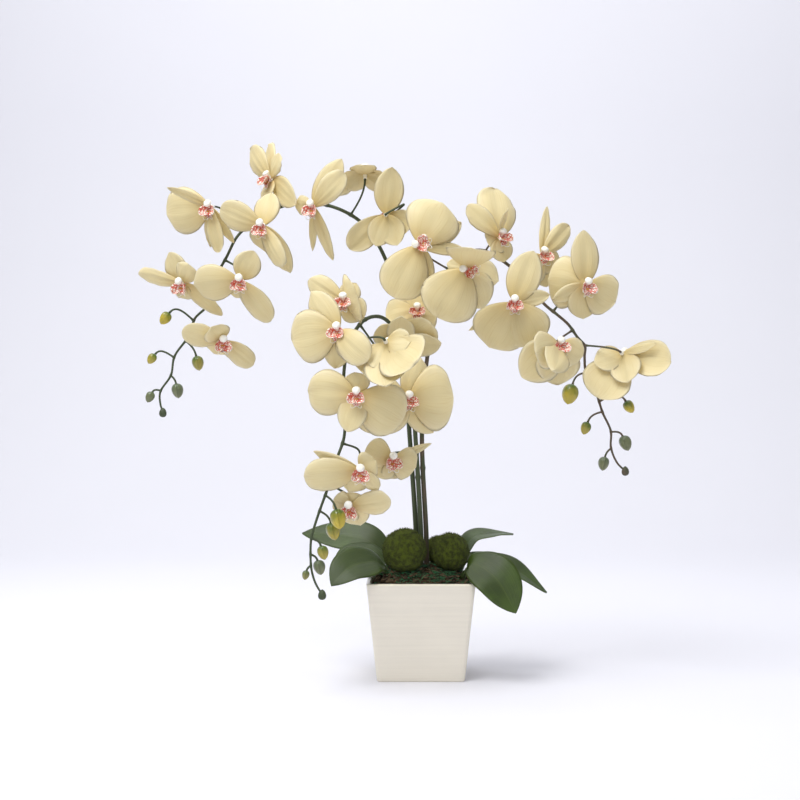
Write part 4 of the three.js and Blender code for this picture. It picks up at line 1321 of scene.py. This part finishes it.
def build_spike(settings, spike, data, necks):
    """A spike with its knots, its stalks and the youngest bud at its tip."""
    rachis = rachis_line(data)
    shape = Shape()
    roots = list(BARE_NODES)
    for number, flower in enumerate(data["flowers"], 1):
        joint, facing = necks[f"{spike}_flower_{number}"]
        via = spray_middle() + np.array(flower["via"]) * MM if "via" in flower else None
        k, root = nearest(rachis, joint - facing * 18 * MM if via is None else via)
        roots.append(k)
        stalk(shape, settings, root, joint, facing, via)
    for _, base, facing, _, _, (k, root) in bud_places(spike, data, rachis):
        roots.append(k)
        stalk(shape, settings, root, base + facing * 0.6 * MM, facing)
    share = np.linspace(0, 1, len(rachis))
    radii = (settings.foot + (settings.tip - settings.foot) * share) / 2
    spacing = np.linalg.norm(rachis[1] - rachis[0])
    for k in roots:
        steps = (np.arange(len(rachis)) - k) * spacing
        radii = radii * (1 + 0.28 * np.exp(-((steps / (2.2 * MM)) ** 2)))
    tube(shape, rachis, radii, 14)
    egg = smooth(bud_profile(TIP_BUD), 14)
    turned(shape, egg, 14, rachis[-1] - UP * TIP_BUD / 2, UP, 0, 0.06)
    coat = stem_finish(f"{spike}_stem", settings, data["bark"])
    shape.piece(f"{spike}_stems", [coat], "stem", f"{spike}_spike")


def bud_profile(long):
    radius = long * 0.38
    return [
        (0, 0), (radius * 0.4, long * 0.02), (radius * 0.82, long * 0.14), (radius, long * 0.36),
        (radius * 0.9, long * 0.62), (radius * 0.5, long * 0.88), (0, long),
    ]


def build_buds():
    for spike, data in SPIKES.items():
        rachis = rachis_line(data)
        for name, base, facing, long, ripe, _ in bud_places(spike, data, rachis):
            shape = Shape()
            turned(shape, smooth(bud_profile(long), 20), 24, base, facing, 0, 0.07)
            shape.settle(name)
            shape.piece(f"{name}_swelling", [bud_finish(f"{name}_skin", ripe)], "bud", name)


# ---------- stage ----------

FLOOR_FRONT = -3.2
FLOOR_BACK = 1.2
SWEEP = 1.1
BACKDROP_TOP = 4.2
BACKDROP_HALF = 4.5
SKY = (0.93, 0.94, 1.0, 1)


def build_stage(settings):
    """A seamless floor and backdrop, soft lights and the camera."""
    profile = [(FLOOR_FRONT, 0), (FLOOR_BACK, 0)]
    for angle in (math.pi / 2 * n / 12 for n in range(1, 13)):
        profile.append((FLOOR_BACK + SWEEP * math.sin(angle), SWEEP * (1 - math.cos(angle))))
    profile.append((FLOOR_BACK + SWEEP, BACKDROP_TOP))
    points = [(x, y, z) for y, z in profile for x in (-BACKDROP_HALF, BACKDROP_HALF)]
    faces = [[2 * k, 2 * k + 1, 2 * k + 3, 2 * k + 2] for k in range(len(profile) - 1)]
    mesh = bpy.data.meshes.new("backdrop")
    mesh.from_pydata(points, [], faces)
    mesh.polygons.foreach_set("use_smooth", [True] * len(faces))
    mesh.materials.append(stage_finish(settings))
    backdrop = bpy.data.objects.new("backdrop", mesh)
    bpy.context.scene.collection.objects.link(backdrop)
    world = bpy.data.worlds.new("studio")
    world.use_nodes = True
    light = world.node_tree.nodes["Background"]
    light.inputs["Color"].default_value = SKY
    light.inputs["Strength"].default_value = settings.sky
    bpy.context.scene.world = world
    bpy.context.scene.view_settings.view_transform = "Standard"
    soft_light("key", settings.key, 1.1, (-0.6, -0.75, 1.9), (0, 0, 0.3))
    soft_light("fill", settings.fill, 1.8, (0.4, -2.3, 0.9), (0, 0, 0.3))
    soft_light("wash", settings.wash, 2.4, (0, 0.7, 2.6), (0, 2.3, 0.9))
    camera = bpy.data.objects.new("camera", bpy.data.cameras.new("camera"))
    camera.data.sensor_width = 36
    camera.data.lens = 63
    camera.location = (-0.023, -1.587, 0.31)
    camera.rotation_euler = (math.pi / 2, 0, 0)
    bpy.context.scene.collection.objects.link(camera)
    bpy.context.scene.camera = camera


def soft_light(name, power, size, place, target):
    data = bpy.data.lights.new(name, "AREA")
    data.energy = power
    data.size = size
    lamp = bpy.data.objects.new(name, data)
    lamp.location = place
    lamp.rotation_euler = (Vector(target) - Vector(place)).to_track_quat("-Z", "Y").to_euler()
    bpy.context.scene.collection.objects.link(lamp)


# ---------- add-on ----------

class ORCHID_OT_pot(bpy.types.Operator):
    """Add the glazed pot"""

    bl_idname = "orchid.pot"
    bl_label = "Pot"

    def execute(self, context):
        build_pot(context.scene.orchid_pot)
        return {"FINISHED"}


class ORCHID_OT_dressing(bpy.types.Operator):
    """Add the bark chips and green fibres, and finish the fill under them"""

    bl_idname = "orchid.dressing"
    bl_label = "Dressing"

    def execute(self, context):
        settings = context.scene.orchid_ground
        build_dressing(settings)
        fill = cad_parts["potting_fill"]
        fill.data.materials.clear()
        fill.data.materials.append(bark_finish(settings))
        return {"FINISHED"}


class ORCHID_OT_moss(bpy.types.Operator):
    """Add the moss balls"""

    bl_idname = "orchid.moss"
    bl_label = "Moss balls"

    def execute(self, context):
        build_moss(context.scene.orchid_ground)
        return {"FINISHED"}


class ORCHID_OT_leaves(bpy.types.Operator):
    """Add the leaves"""

    bl_idname = "orchid.leaves"
    bl_label = "Leaves"

    def execute(self, context):
        build_leaves(context.scene.orchid_leaf)
        return {"FINISHED"}


class ORCHID_OT_flowers(bpy.types.Operator):
    """Add the flowers and the spikes that carry them"""

    bl_idname = "orchid.flowers"
    bl_label = "Flowers and spikes"

    def execute(self, context):
        necks = build_flowers(context.scene.orchid_flower)
        for spike, data in SPIKES.items():
            build_spike(context.scene.orchid_spike, spike, data, necks)
        return {"FINISHED"}


class ORCHID_OT_buds(bpy.types.Operator):
    """Add the buds"""

    bl_idname = "orchid.buds"
    bl_label = "Buds"

    def execute(self, context):
        build_buds()
        return {"FINISHED"}


class ORCHID_OT_stage(bpy.types.Operator):
    """Add the floor, the backdrop, the lights and the camera"""

    bl_idname = "orchid.stage"
    bl_label = "Stage"

    def execute(self, context):
        build_stage(context.scene.orchid_stage)
        return {"FINISHED"}


OPERATORS = (
    ORCHID_OT_stage, ORCHID_OT_pot, ORCHID_OT_dressing, ORCHID_OT_moss, ORCHID_OT_leaves,
    ORCHID_OT_flowers, ORCHID_OT_buds,
)
SETTINGS = {
    "orchid_pot": OrchidPotSettings,
    "orchid_ground": OrchidGroundSettings,
    "orchid_leaf": OrchidLeafSettings,
    "orchid_spike": OrchidSpikeSettings,
    "orchid_flower": OrchidFlowerSettings,
    "orchid_stage": OrchidStageSettings,
}


class ORCHID_PT_panel(bpy.types.Panel):
    """The orchid's pieces and their sizes and colours"""

    bl_idname = "ORCHID_PT_panel"
    bl_label = "Potted orchid"
    bl_space_type = "VIEW_3D"
    bl_region_type = "UI"
    bl_category = "Orchid"

    def draw(self, context):
        for operator in OPERATORS:
            self.layout.operator(operator.bl_idname)
        for name, group in SETTINGS.items():
            box = self.layout.box()
            for prop in group.__annotations__:
                box.prop(getattr(context.scene, name), prop)


def register():
    for group in SETTINGS.values():
        bpy.utils.register_class(group)
    for name, group in SETTINGS.items():
        setattr(bpy.types.Scene, name, PointerProperty(type=group))
    for operator in (*OPERATORS, ORCHID_PT_panel):
        bpy.utils.register_class(operator)


def unregister():
    for operator in (ORCHID_PT_panel, *reversed(OPERATORS)):
        bpy.utils.unregister_class(operator)
    for name in SETTINGS:
        delattr(bpy.types.Scene, name)
    for group in reversed(SETTINGS.values()):
        bpy.utils.unregister_class(group)


def main():
    register()
    bpy.ops.orchid.stage()
    bpy.ops.orchid.pot()
    bpy.ops.orchid.dressing()
    bpy.ops.orchid.moss()
    bpy.ops.orchid.leaves()
    bpy.ops.orchid.flowers()
    bpy.ops.orchid.buds()


if __name__ == "__main__":
    main()
